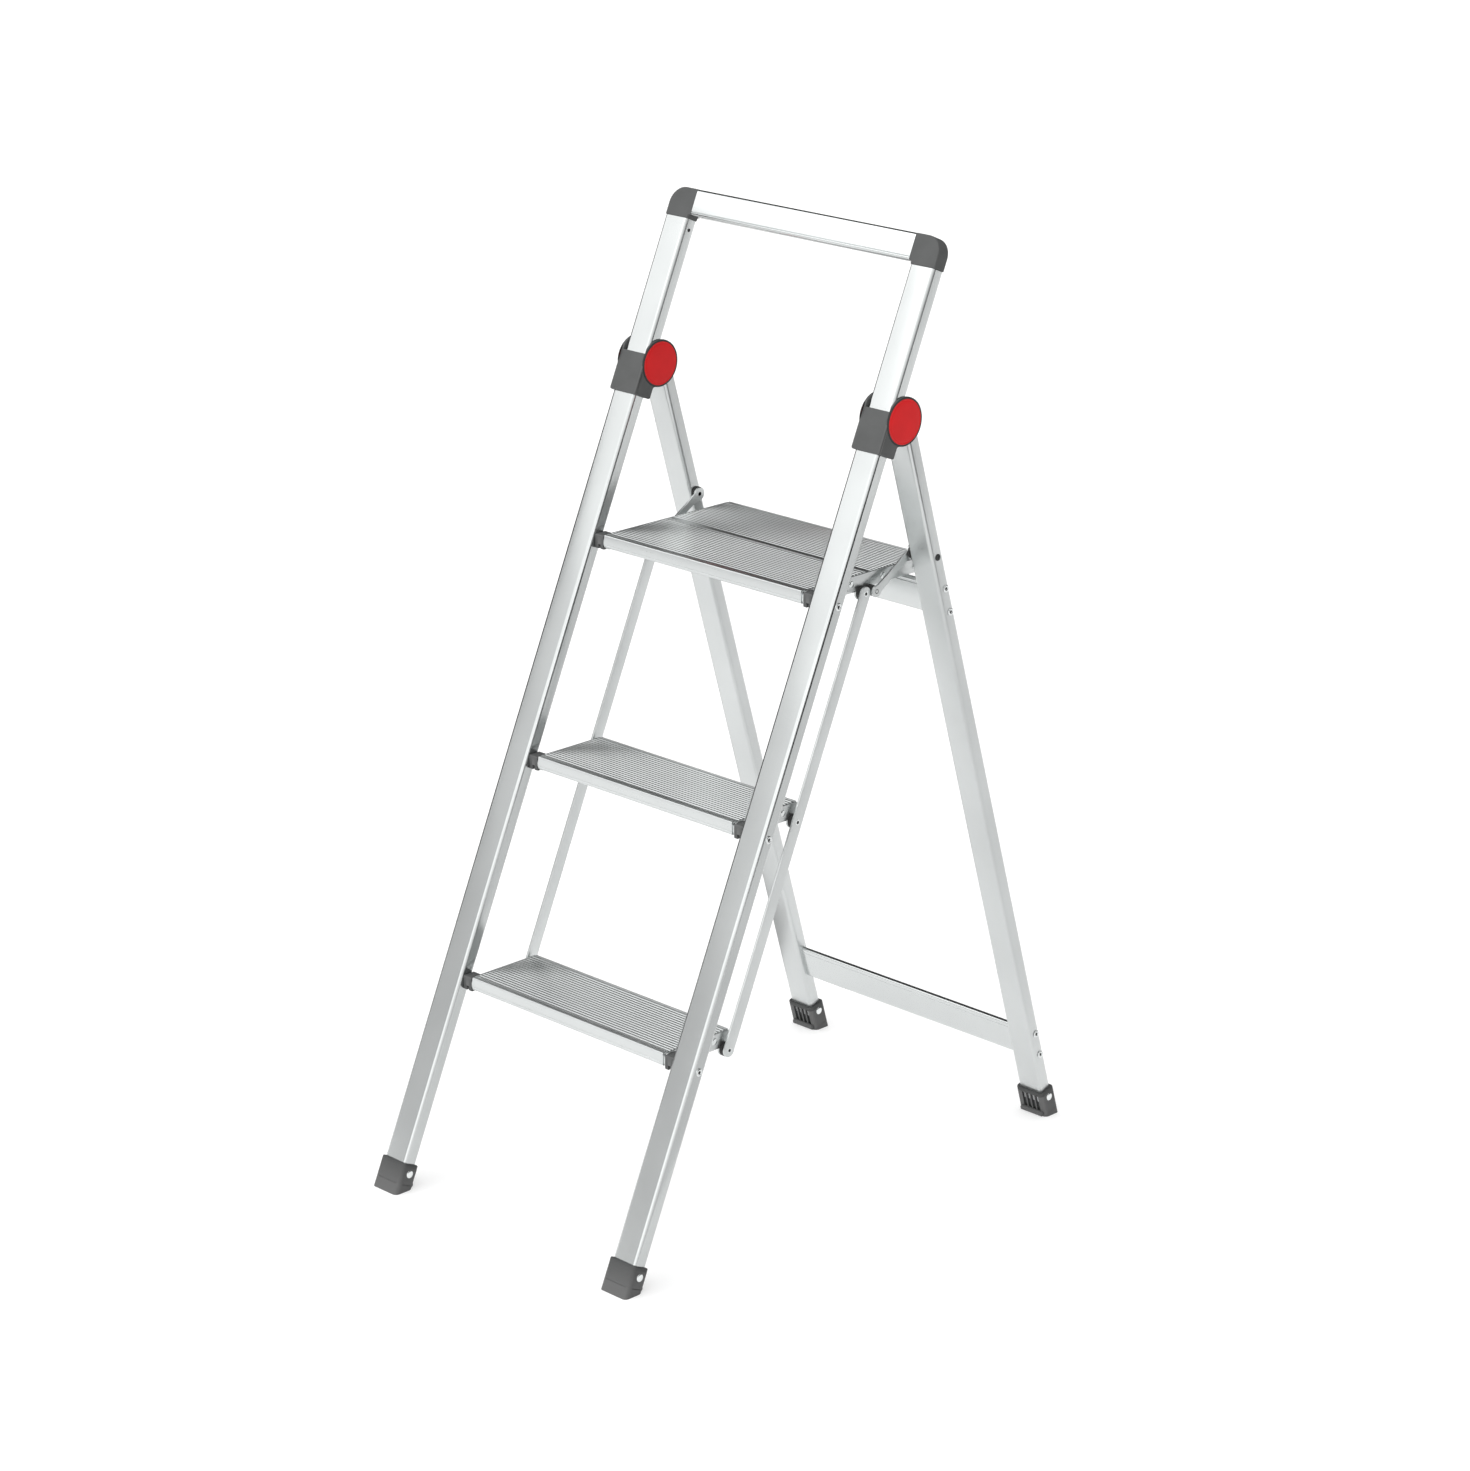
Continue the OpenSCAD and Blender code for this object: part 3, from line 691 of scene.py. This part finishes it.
def rivet_mesh(mesh, place, centre, inner, outer, shank, head, height, hollow=0.0):
    """A rivet on both sides of the ladder, headed outside, from inner to outer.

    A hollow head rises clear of outer, so that its bore's floor shows above that face.
    """
    if hollow:
        top = tube_end(outer + height * 0.4, head, hollow, HOLLOW_RISE, height * 0.3)
    else:
        top = dome(outer, head, height)
    profile = [(inner, 0), (inner, shank), (outer, shank)] + top
    for sign in (1, -1):
        add_turned(mesh, paired(sign, profile), place, centre, 32)


def make_foot_rivets(node, place, foot):
    """Domed rivets in both sides of each foot."""
    lo, hi = node_box(node, place)
    centre = ((lo.y + hi.y) / 2, (lo.z + hi.z) / 2)
    foot_lo, foot_hi = node_box(foot, place)
    mesh = bmesh.new()
    head = (hi.z - lo.z) / 2
    height = hi.x - foot_hi.x
    sunk = 2 * MM
    for sign in (1, -1):
        for x, out in ((foot_hi.x, 1), (foot_lo.x, -1)):
            profile = [(x - out * sunk, head - 1.5 * MM)] + dome(x, head, height, out)
            add_turned(mesh, paired(sign, profile), place, centre, 32)
    show(node, mesh, rivet_metal)


make_foot_rivets("foot_rivets_front", RAIL, "foot_front_right")
make_foot_rivets("foot_rivets_rear", LEG, "foot_rear_right")


def paint_bore_shade(mesh, place, centres, bore):
    """Paints shade into the floors of rivet bores round these centres: they take the mesh's second, dark
    material.
    """
    back = place.inverted()
    for face in mesh.faces:
        at = back @ face.calc_center_median()
        if any(hypot(at.y - y, at.z - z) < bore * 0.95 for y, z in centres):
            face.material_index = 1


def make_tread_axles():
    """Tubular rivets that the treads turn on; the rolled end shows outside each rail."""
    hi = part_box("tread_axles")[1]
    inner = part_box("rod_right")[0].x
    head = 4.4 * MM
    bore = 1.8 * MM
    height = hi.x - rail_hi.x
    rolled = rail_hi.x + height * 0.5
    profile = [(inner, 0), (inner, PIN), (rail_hi.x, PIN), (rail_hi.x, head), (rolled, head)]
    profile += tube_end(rolled, head - 0.2 * MM, bore, height * 0.5, height * 0.4)[1:]
    centres = [joints[name]["pos_m"][1:] for name in ("platform_tilt", "middle_tilt", "lower_tilt")]
    mesh = bmesh.new()
    for centre in centres:
        for sign in (1, -1):
            add_turned(mesh, paired(sign, profile), Matrix.Identity(4), centre, 32)
    # the bore floors are painted dark as shade
    paint_bore_shade(mesh, Matrix.Identity(4), centres, bore)
    show("tread_axles", mesh, rivet_metal, recess_shade_metal)


make_tread_axles()


def make_corner_rivets():
    """Blind rivets in the rails' inner faces below the corner pieces."""
    lo, hi = node_box("corner_rivets", RAIL)
    centre = ((lo.y + hi.y) / 2, (lo.z + hi.z) / 2)
    head = (hi.z - lo.z) / 2
    face = rail_lo.x
    lip = 0.2 * MM
    dimple = 0.6 * MM
    profile = [(face + 1 * MM, head), (face - lip, head), (face - 2 * lip, head - lip),
               (face - 0.3 * MM, head - 2 * lip), (face - lip / 2, head - dimple), (face - lip / 2, 0)]
    mesh = bmesh.new()
    for sign in (1, -1):
        add_turned(mesh, paired(sign, profile), RAIL, centre, 24)
    show("corner_rivets", mesh, black_plastic)


make_corner_rivets()


# ---------- rear frame ----------

# between the two rivets at each end of a crossbar
RIVET_PITCH = 29 * MM


def make_crossbar(node):
    """Extruded channel between the legs: flat web, short flanges and rivet ports behind."""
    lo, hi = node_box(node, LEG)
    wall = 2 * MM
    lip = lo.y + 5.5 * MM
    line = hi.z - 5.2 * MM
    line_deep = 0.5 * MM
    soft = 0.5 * MM
    bend = 0.8 * MM
    crease = 0.2 * MM
    outline = rounded([
        (lo.y, lo.z, 2.4 * MM), (lip, lo.z, soft), (lip, lo.z + wall, soft),
        (lo.y + wall, lo.z + wall, bend), (lo.y + wall, hi.z - wall, bend),
        (lip, hi.z - wall, soft), (lip, hi.z, soft), (lo.y, hi.z, 3 * MM),
        (lo.y, line + line_deep, crease), (lo.y + line_deep, line), (lo.y, line - line_deep, crease),
    ])
    mesh = bmesh.new()
    add_prism(mesh, outline, "X", lo.x, hi.x, LEG)
    port = 4 * MM
    short = 0.2 * MM
    start = lo.x + short
    end = hi.x - short
    profile = [(start, 0), (start, port), (end, port), (end, 0)]
    middle = (lo.z + hi.z) / 2
    for z in (middle - RIVET_PITCH / 2, middle + RIVET_PITCH / 2):
        add_turned(mesh, profile, LEG, (hi.y - port, z), 32)
    show(node, mesh, crossbar_metal)


make_crossbar("crossbar_lower")
make_crossbar("crossbar_upper")


def make_crossbar_rivets():
    """Tubular rivets through the legs into the crossbars' ports."""
    lo, hi = node_box("crossbar_rivets", LEG)
    height = hi.x - leg_hi.x
    inner = leg_lo.x - SHANK_LENGTH
    shank = 2.5 * MM
    head = 4.2 * MM
    bore = 1.7 * MM
    mesh = bmesh.new()
    for bar in ("crossbar_lower", "crossbar_upper"):
        bar_lo, bar_hi = node_box(bar, LEG)
        middle = (bar_lo.z + bar_hi.z) / 2
        for z in (middle - RIVET_PITCH / 2, middle + RIVET_PITCH / 2):
            centre = ((lo.y + hi.y) / 2, z)
            rivet_mesh(mesh, LEG, centre, inner, leg_hi.x, shank, head, height, bore)
            # the bore floors are painted dark as shade
            paint_bore_shade(mesh, LEG, [centre], bore)
    show("crossbar_rivets", mesh, rivet_metal, recess_shade_metal)


make_crossbar_rivets()


def make_arm_anchors():
    """Through rivets in the legs for the folding arms, with a low hollow head outside."""
    lo, hi = node_box("arm_anchors", LEG)
    centre = ((lo.y + hi.y) / 2, (lo.z + hi.z) / 2)
    head = (hi.z - lo.z) / 2
    bore = 2 * MM
    floor = hi.x - 1 * MM
    profile = [(leg_lo.x, 0), (leg_lo.x, PIN), (leg_hi.x, PIN), (leg_hi.x, head)]
    profile += [(hi.x - 0.6 * MM, head), (hi.x, head - 0.9 * MM), (hi.x - 0.1 * MM, bore),
                (floor, bore - 0.6 * MM), (floor, 0)]
    mesh = bmesh.new()
    for sign in (1, -1):
        add_turned(mesh, paired(sign, profile), LEG, centre, 32)
    show("arm_anchors", mesh, pivot_metal)


make_arm_anchors()


# ---------- treads ----------

RIB_PITCH = 4.8 * MM
RIB_DEEP = 0.7 * MM
EDGE_GROOVE = 1.6 * MM
CREASE = 0.2 * MM
# land and groove depth along a tread's edges, and where the two platform treads meet
FRONT_EDGE = (3.2 * MM, 1.1 * MM)
REAR_EDGE = (3.2 * MM, 0.4 * MM)
SEAM_EDGE = (1.3 * MM, RIB_DEEP)
SEAM_GAP = 0.3 * MM
# where a tread's rivet ports lie behind and below its top front edge, and their rivets' heads
PORTS = (25 * MM, 75 * MM)
PORT_DROP = -8.5 * MM
PLATE_HEAD = 3.8 * MM


def ribbed_deck(depth, front, rear):
    """Top of a tread from its rear edge to its front, each edge given as (land, groove depth)."""
    front_land, front_groove = front
    rear_land, rear_groove = rear
    start = front_land + EDGE_GROOVE
    end = depth - rear_land - EDGE_GROOVE
    count = round((end - start) / RIB_PITCH)
    pitch = (end - start) / count
    shoulder = 0.3 * MM
    valley = 0.9 * MM
    deck = []
    for i in range(count, 0, -1):
        rib_front = start + (i - 1) * pitch
        deck += [(start + i * pitch, 0, shoulder), (rib_front + 2 * valley, 0, shoulder),
                 (rib_front + 1.4 * valley, -RIB_DEEP), (rib_front + 0.6 * valley, -RIB_DEEP)]
    floor = (CREASE, EDGE_GROOVE - CREASE)
    rear_edge = [(depth - rear_land, 0, CREASE)]
    rear_edge += [(depth - rear_land - y, -rear_groove) for y in floor]
    front_edge = [(start - y, -front_groove) for y in floor] + [(front_land, 0, CREASE)]
    # the front groove takes the place of the last valley
    return rear_edge + deck[:-2] + front_edge


def port_outline(y, web, deck_under):
    """Round rivet port under a deck, open to it through a slit."""
    port = 4.2 * MM
    spread = degrees(atan2(web, port))
    ring = arc((y, PORT_DROP), port, 90 + spread, 450 - spread, 18)
    return [(y - web, deck_under)] + ring + [(y + web, deck_under)]


def make_tread(node):
    """Tread extrusion: ribbed deck, front and rear lips, webs with rivet ports below."""
    place = tread_place(node)
    lo, hi = node_box(node, place)
    depth = hi.y
    front, rear = FRONT_EDGE, REAR_EDGE
    front_soft = rear_soft = 1.6 * MM
    if node == "platform_front":
        depth = node_box("platform_rear", place)[0].y - SEAM_GAP
        rear, rear_soft = SEAM_EDGE, CREASE
    if node == "platform_rear":
        front, front_soft = SEAM_EDGE, CREASE
    wall = 2.2 * MM
    deck_under = -1.9 * MM
    web = 1 * MM
    web_low = -10 * MM
    web_soft = 0.5 * MM
    bottom = lo.z - hi.z
    bottom_soft = 1.8 * MM
    middle = depth / 2
    centre_web = [(middle - web, deck_under), (middle - web, web_low, web_soft),
                  (middle + web, web_low, web_soft), (middle + web, deck_under)]
    inner = [(wall, bottom, 0.6 * MM), (wall, deck_under, 1 * MM)]
    outer = [(depth - wall, deck_under, 1 * MM), (depth - wall, bottom, 0.6 * MM)]
    ports = [port_outline(y, web, deck_under) for y in PORTS]
    under = ports[0] + centre_web + ports[1]
    corners = [(0, bottom, bottom_soft)] + inner + under + outer
    corners += [(depth, bottom, bottom_soft), (depth, 0, rear_soft)]
    corners += ribbed_deck(depth, front, rear) + [(0, 0, front_soft)]
    # fine line along the front lip
    line = -11.2 * MM
    line_deep = 0.5 * MM
    corners += [(0, line + line_deep, CREASE), (line_deep, line), (0, line - line_deep, CREASE)]
    mesh = bmesh.new()
    add_prism(mesh, rounded(corners, 5), "X", lo.x, hi.x, place)
    bmesh.ops.recalc_face_normals(mesh, faces=mesh.faces)
    # the deck between the lands takes a tone of its own, painted light that sets it apart from the lips; the
    # front groove's floor is painted dark as shade
    back = place.inverted()
    tiny = 0.05 * MM
    groove_end = front[0] + EDGE_GROOVE if front == FRONT_EDGE else 0
    for face in mesh.faces:
        at = back @ face.calc_center_median()
        on_land = at.y < front[0] + tiny or at.y > depth - rear[0] - tiny
        if at.z < deck_under or abs(face.normal.x) > 0.5 or on_land:
            continue
        in_groove = at.y < groove_end and at.z < -2 * tiny
        face.material_index = 2 if in_groove else 1
    show(node, mesh, lip_metal, deck_metal, recess_shade_metal, sharp=radians(40))


for tread in ("platform_front", "platform_rear", "tread_middle", "tread_lower"):
    make_tread(tread)

# each step: its node prefix, its front tread's node, and whether it carries the folding arms
STEPS = (
    ("platform", "platform_front", True),
    ("middle", "tread_middle", False),
    ("lower", "tread_lower", False),
)
rod_pivot = joints["rod_right_swing"]["pos_m"]
arm_pivot = joints["arm_right_swing"]["pos_m"]
platform_place = tread_place("platform_front")
# linkage pivots from a tread's top front edge
rod_at = (platform_place.inverted() @ Vector(rod_pivot)).yz
arm_at = (platform_place.inverted() @ Vector(arm_pivot)).yz


def plate_outline(lo, hi, with_arm):
    """Side plate seen from the side, with round lobes at the rod's and the arm's pivots.

    The arcs stop at the angles, in degrees, where the straight edges between them leave.
    """
    low = -18.5 * MM
    top = -0.5 * MM
    lobe = 8 * MM
    nose = 8 * MM
    tail = 3 * MM
    left = 180 - degrees(atan2(low - rod_at.y, sqrt(lobe ** 2 - (low - rod_at.y) ** 2)))
    outline = [(lo.y + nose, low)]
    outline += arc(rod_at, lobe, left, 372 if with_arm else 376, 30)
    if with_arm:
        arm_lobe = 6.5 * MM
        tail_low = -13 * MM
        outline += arc(arm_at, arm_lobe, 196, 402, 24)
        outline += [(hi.y - tail, tail_low - tail)] + arc((hi.y - tail, tail_low), tail, -84, 0, 6)
    outline += arc((hi.y - tail, top - tail), tail, 0, 90, 6)
    outline += arc((lo.y + nose, top - nose), nose, 90, 180, 10)
    outline += arc((lo.y + nose, low + nose), nose, 180, 262, 10)
    return outline


SHEET_EDGE = 0.35 * MM


def make_side_plate(step, tread, side, mirrored, with_arm):
    """Sheet plate on a tread's end that carries the linkage pivots."""
    place = tread_place(tread)
    lo, hi = node_box(step + "_plate_right", place)
    mesh = bmesh.new()
    add_prism(mesh, plate_outline(lo, hi, with_arm), "X", lo.x, hi.x, place, both(SHEET_EDGE))
    show(step + "_plate_" + side, mesh, sheet_metal, mirrored=mirrored)


def make_bushings(step, tread):
    """Plastic blocks between side plates and rails, with a groove for the folded rod."""
    place = tread_place(tread)
    lo, hi = node_box(step + "_bushings", place)
    rod_lo, rod_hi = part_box("rod_right")
    gap = 0.4 * MM
    edge = 0.5 * MM
    corner = 1.5 * MM
    groove_top = -13 * MM
    full = box_outline((lo.y, lo.z), (hi.y, hi.z), corner)
    slim = box_outline((lo.y, groove_top), (hi.y, hi.z), corner)
    plate_out = node_box(step + "_plate_right", place)[1].x
    mesh = bmesh.new()
    for sign in (1, -1):
        spans = ((full, plate_out, rod_lo.x - gap), (full, rod_hi.x + gap, hi.x),
                 (slim, rod_lo.x - gap - edge, rod_hi.x + gap + edge))
        for outline, a, b in spans:
            start, end = sorted((sign * a, sign * b))
            add_prism(mesh, outline, "X", start, end, place, both(edge) if outline is full else (0, 0))
    show(step + "_bushings", mesh, grey_plastic)


def washer_profile(start, end, radius):
    """Profile of a plastic washer round a pin."""
    hole = PIN - 0.1 * MM
    edge = 0.3 * MM
    return [(start, hole), (start, radius - edge), (start + edge, radius), (end - edge, radius),
            (end, radius - edge), (end, hole)]


def make_spacers(step, tread, with_arm):
    """Washers that keep the rods, and the arms if any, off the side plates."""
    gap = 0.1 * MM
    rod_washer = 7.8 * MM
    arm_washer = 6 * MM
    place = tread_place(tread)
    mesh = bmesh.new()
    plate_out = node_box(step + "_plate_right", place)[1].x
    rod_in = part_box("rod_right")[0].x
    arm_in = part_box("arm_right")[0].x
    for sign in (1, -1):
        profile = washer_profile(plate_out, rod_in - gap, rod_washer)
        add_turned(mesh, paired(sign, profile), place, rod_at)
        if with_arm:
            profile = washer_profile(plate_out, arm_in - gap, arm_washer)
            add_turned(mesh, paired(sign, profile), place, arm_at)
    show(step + "_spacers", mesh, black_plastic)


def make_link_pins(step, tread, with_arm):
    """Linkage rivets, hollow where they show outside the rods."""
    place = tread_place(tread)
    tip = node_box(step + "_pins", place)[1].x
    start = node_box(step + "_plate_right", place)[0].x
    bevel = 0.4 * MM
    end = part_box("rod_right")[1].x + bevel
    bore = 1.9 * MM
    bore_deep = 0.3 * MM
    rod_pin = [(start, 0), (start, PIN), (end, PIN), (end, bore),
               (end - bore_deep, bore), (end - bore_deep, 0)]
    arm_pin = [(start, 0), (start, PIN), (tip - bevel, PIN), (tip, PIN - bevel),
               (tip, bore), (tip - bore_deep, bore), (tip - bore_deep, 0)]
    mesh = bmesh.new()
    for sign in (1, -1):
        add_turned(mesh, paired(sign, rod_pin), place, rod_at, 32)
        if with_arm:
            add_turned(mesh, paired(sign, arm_pin), place, arm_at, 32)
    # the bore floors are painted dark as shade
    paint_bore_shade(mesh, place, [rod_at, arm_at] if with_arm else [rod_at], bore)
    show(step + "_pins", mesh, rivet_metal, recess_shade_metal)


def make_plate_rivets(step, tread):
    """Domed rivets that hold the side plates to the tread's ports."""
    place = tread_place(tread)
    lo, hi = node_box(step + "_rivets", place)
    plate_hi = node_box(step + "_plate_right", place)[1]
    first = lo.y + PLATE_HEAD
    last = hi.y - PLATE_HEAD
    pitch = PORTS[1] - PORTS[0]
    two_treads = last - first > 60 * MM
    places = [first, first + pitch]
    if two_treads:
        places += [last - pitch, last]
    outer = plate_hi.x
    shank = 2.4 * MM
    mesh = bmesh.new()
    for y in places:
        rivet_mesh(mesh, place, (y, PORT_DROP), outer - SHANK_LENGTH, outer, shank, PLATE_HEAD, hi.x - outer)
    show(step + "_rivets", mesh, rivet_metal)


for step, tread, with_arm in STEPS:
    for side, mirrored in both_sides():
        make_side_plate(step, tread, side, mirrored, with_arm)
    make_bushings(step, tread)
    make_spacers(step, tread, with_arm)
    make_link_pins(step, tread, with_arm)
    make_plate_rivets(step, tread)


# ---------- linkage bars ----------

def link_outline(a, b, half, eye_a, eye_b, waist=None):
    """Flat bar between two pivots with a round eye at each end, optionally waisted."""
    start, end = Vector(a), Vector(b)
    along = (end - start).normalized()
    heading = degrees(atan2(along.y, along.x))
    across = Vector((-along.y, along.x))
    waist = half if waist is None else waist
    open_a = degrees(atan2(half, sqrt(eye_a ** 2 - half ** 2)))
    open_b = degrees(atan2(half, sqrt(eye_b ** 2 - half ** 2)))
    outline = arc(start, eye_a, heading + open_a, heading + 360 - open_a, 28)
    third = (end - start) / 3
    outline += [tuple(start + third - across * waist), tuple(end - third - across * waist)]
    outline += arc(end, eye_b, heading - 180 + open_b, heading + 180 - open_b, 28)
    outline += [tuple(end - third + across * waist), tuple(start + third + across * waist)]
    return outline


def make_rod(side, mirrored):
    """Zinc-plated push rod that ties the three steps together."""
    lo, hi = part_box("rod_right")
    lower = tread_place("tread_lower") @ Vector((0, rod_at.x, rod_at.y))
    half = 7.45 * MM
    eye = 7.7 * MM
    outline = link_outline(lower.yz, Vector(rod_pivot).yz, half, eye, eye)
    mesh = bmesh.new()
    add_prism(mesh, outline, "X", lo.x, hi.x, Matrix.Identity(4), both(SHEET_EDGE))
    show("rod_" + side, mesh, rod_metal, mirrored=mirrored)


def make_arm(side, mirrored):
    """Waisted arm between the platform and a rear leg, with its washer and rivet."""
    lo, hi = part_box("arm_right")
    rivet_lo, rivet_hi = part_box("arm_rivet_right")
    anchor = ((rivet_lo + rivet_hi) / 2).yz
    half = 5 * MM
    waist = 4.2 * MM
    platform_eye = 6.5 * MM
    leg_eye = 7.5 * MM
    outline = link_outline(Vector(arm_pivot).yz, anchor, half, platform_eye, leg_eye, waist)
    mesh = bmesh.new()
    add_prism(mesh, outline, "X", lo.x, hi.x, Matrix.Identity(4), both(SHEET_EDGE))
    show("arm_" + side, mesh, sheet_metal, mirrored=mirrored)
    washer = bmesh.new()
    washer_lo, washer_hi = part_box("arm_spacer_right")
    profile = washer_profile(washer_lo.x, washer_hi.x, 8 * MM)
    add_turned(washer, profile, Matrix.Identity(4), anchor)
    show("arm_spacer_" + side, washer, black_plastic, mirrored=mirrored)
    rivet = bmesh.new()
    profile = [(rivet_lo.x, 0), (rivet_lo.x, PIN - 0.5 * MM), (rivet_lo.x + 0.4 * MM, PIN),
               (rivet_hi.x, PIN), (rivet_hi.x, 0)]
    add_turned(rivet, profile, Matrix.Identity(4), anchor, 32)
    show("arm_rivet_" + side, rivet, rivet_metal, mirrored=mirrored)


for side, mirrored in both_sides():
    make_rod(side, mirrored)
    make_arm(side, mirrored)


# ---------- floor, light and camera ----------

def new_sheet(name, size, material):
    """Flat rectangle of that width and depth, round the origin."""
    mesh = bmesh.new()
    bmesh.ops.create_grid(mesh, x_segments=1, y_segments=1, size=0.5)
    bmesh.ops.scale(mesh, vec=(*size, 1), verts=mesh.verts)
    data = bpy.data.meshes.new(name)
    mesh.to_mesh(data)
    mesh.free()
    data.materials.append(material)
    return bpy.data.objects.new(name, data)


def make_floor():
    """Plain pale floor, lit a little from within so that it meets the background without a line."""
    material, shader = new_material("floor_pale")
    shader.inputs["Base Color"].default_value = (*grey(0.55), 1)
    shader.inputs["Roughness"].default_value = 0.9
    shader.inputs["Emission Color"].default_value = (1, 1, 1, 1)
    shader.inputs["Emission Strength"].default_value = 0.46
    floor = new_sheet("floor", (60, 60), material)
    bpy.context.scene.collection.objects.link(floor)


def compass(azimuth, elevation):
    """Unit vector towards an azimuth, 0 at the ladder's front and 90 on its right, in degrees."""
    a, e = radians(azimuth), radians(elevation)
    return Vector((sin(a) * cos(e), -cos(a) * cos(e), sin(e)))


def aim_at_ladder(thing, direction, distance):
    """Puts a thing out in that direction and turns its Z axis away from the ladder's middle."""
    thing.location = CAMERA_AIM + direction * distance
    thing.rotation_euler = direction.to_track_quat("Z", "Y").to_euler()
    bpy.context.scene.collection.objects.link(thing)


def add_light(name, direction, distance, size, power):
    """Soft rectangular light that faces the ladder's middle."""
    data = bpy.data.lights.new(name, "AREA")
    data.shape = "RECTANGLE"
    data.size = size[0]
    data.size_y = size[1]
    data.energy = power
    aim_at_ladder(bpy.data.objects.new(name, data), direction, distance)


def new_card(name, size, level):
    """Studio card that only shows in reflections: a dark flag, or a bright panel."""
    material, shader = new_material(name)
    shader.inputs["Base Color"].default_value = (0, 0, 0, 1)
    shader.inputs["Specular IOR Level"].default_value = 0
    shader.inputs["Emission Color"].default_value = (1, 1, 1, 1)
    shader.inputs["Emission Strength"].default_value = level
    card = new_sheet(name, size, material)
    card.visible_camera = False
    card.visible_shadow = False
    card.visible_diffuse = False
    return card


def add_standing_card(name, direction, distance, size, level):
    """Card that faces the ladder's middle."""
    aim_at_ladder(new_card(name, size, level), direction, distance)


def add_floor_card(name, centre, size, level):
    """Card just above the floor, for what the ladder's sides mirror from there."""
    card = new_card(name, size, level)
    card.location = (*centre, 2 * MM)
    bpy.context.scene.collection.objects.link(card)


# towards the front and left, and the heights between which the overhead light sets in
BRIGHT_SIDE = (-0.45, -0.89, 0)
OVERHEAD_STARTS = (0.72, 0.85)


def make_world(bright, dim, overhead):
    """White studio: bright overhead, and low down brightest in front and on the left."""
    world = bpy.data.worlds.new("studio")
    world.use_nodes = True
    tree = world.node_tree
    background = tree.nodes["Background"]
    background.inputs["Color"].default_value = (1, 1, 1, 1)
    direction = tree.nodes.new("ShaderNodeTexCoord")
    facing = tree.nodes.new("ShaderNodeVectorMath")
    facing.operation = "DOT_PRODUCT"
    facing.inputs[1].default_value = BRIGHT_SIDE
    link(tree, direction, "Generated", facing, 0)
    low = remap(tree, facing, "Value", -1, 1, dim, bright)
    parts = tree.nodes.new("ShaderNodeSeparateXYZ")
    link(tree, direction, "Generated", parts, "Vector")
    rise = remap(tree, parts, "Z", *OVERHEAD_STARTS, 0, 1)
    level = tree.nodes.new("ShaderNodeMix")
    level.inputs["B"].default_value = overhead
    link(tree, rise, "Result", level, "Factor")
    link(tree, low, "Result", level, "A")
    link(tree, level, "Result", background, "Strength")
    bpy.context.scene.world = world


def make_camera():
    """Camera at the photographed angle."""
    data = bpy.data.cameras.new("camera")
    data.lens = CAMERA_LENS
    data.clip_end = 100
    camera = bpy.data.objects.new("camera", data)
    aim_at_ladder(camera, compass(CAMERA_AZIMUTH, CAMERA_ELEVATION), CAMERA_DISTANCE)
    bpy.context.scene.camera = camera


make_floor()
make_world(bright=2.0, dim=0.12, overhead=1.7)
add_light("key", compass(-34, 46), distance=3.6, size=(1.4, 1.4), power=6)
# cards: name, direction, distance, size and level
# what the rails' fronts mirror: bright above, darker low down
add_standing_card("panel_high", compass(-44, 30.5), 3.3, (2.0, 1.0), 1.65)
add_standing_card("panel_upper", compass(-44, 19), 3.3, (2.2, 0.38), 1.12)
add_standing_card("panel_middle", compass(-44, 12.5), 3.3, (2.4, 0.4), 1.0)
add_standing_card("flag_low", compass(-44, -4), 3.3, (2.6, 1.5), 0.8)
# what the edges and the tops mirror
add_standing_card("flag_right", compass(100, 4), 1.9, (1.5, 1.0), 0.03)
add_standing_card("flag_left", compass(-142, 12), 3.0, (1.8, 1.9), 0.45)
add_standing_card("flag_edge", compass(-90, 0), 2.4, (3.2, 2.4), 0.02)
add_standing_card("flag_near", compass(-135, 32), 1.2, (1.6, 0.5), 0.02)
add_standing_card("flag_high", compass(-120, 42), 3.0, (3.0, 1.8), 0.02)
add_standing_card("flag_top", compass(-130, 70), 2.6, (2.4, 1.6), 0.02)
add_standing_card("flag_back", compass(140, 28), 3.0, (2.2, 1.2), 0.03)
add_standing_card("panel_front", compass(45, 19), 3.2, (1.0, 1.0), 2.5)
add_floor_card("floor_left", (-1.9, 0.95), (3.2, 1.5), 0.45)
add_floor_card("floor_right", (1.6, 1.6), (2.6, 2.6), 0.97)
add_floor_card("floor_front", (0.95, -0.1), (1.2, 1.2), 0.9)
make_camera()
bpy.context.scene.view_settings.view_transform = "Standard"
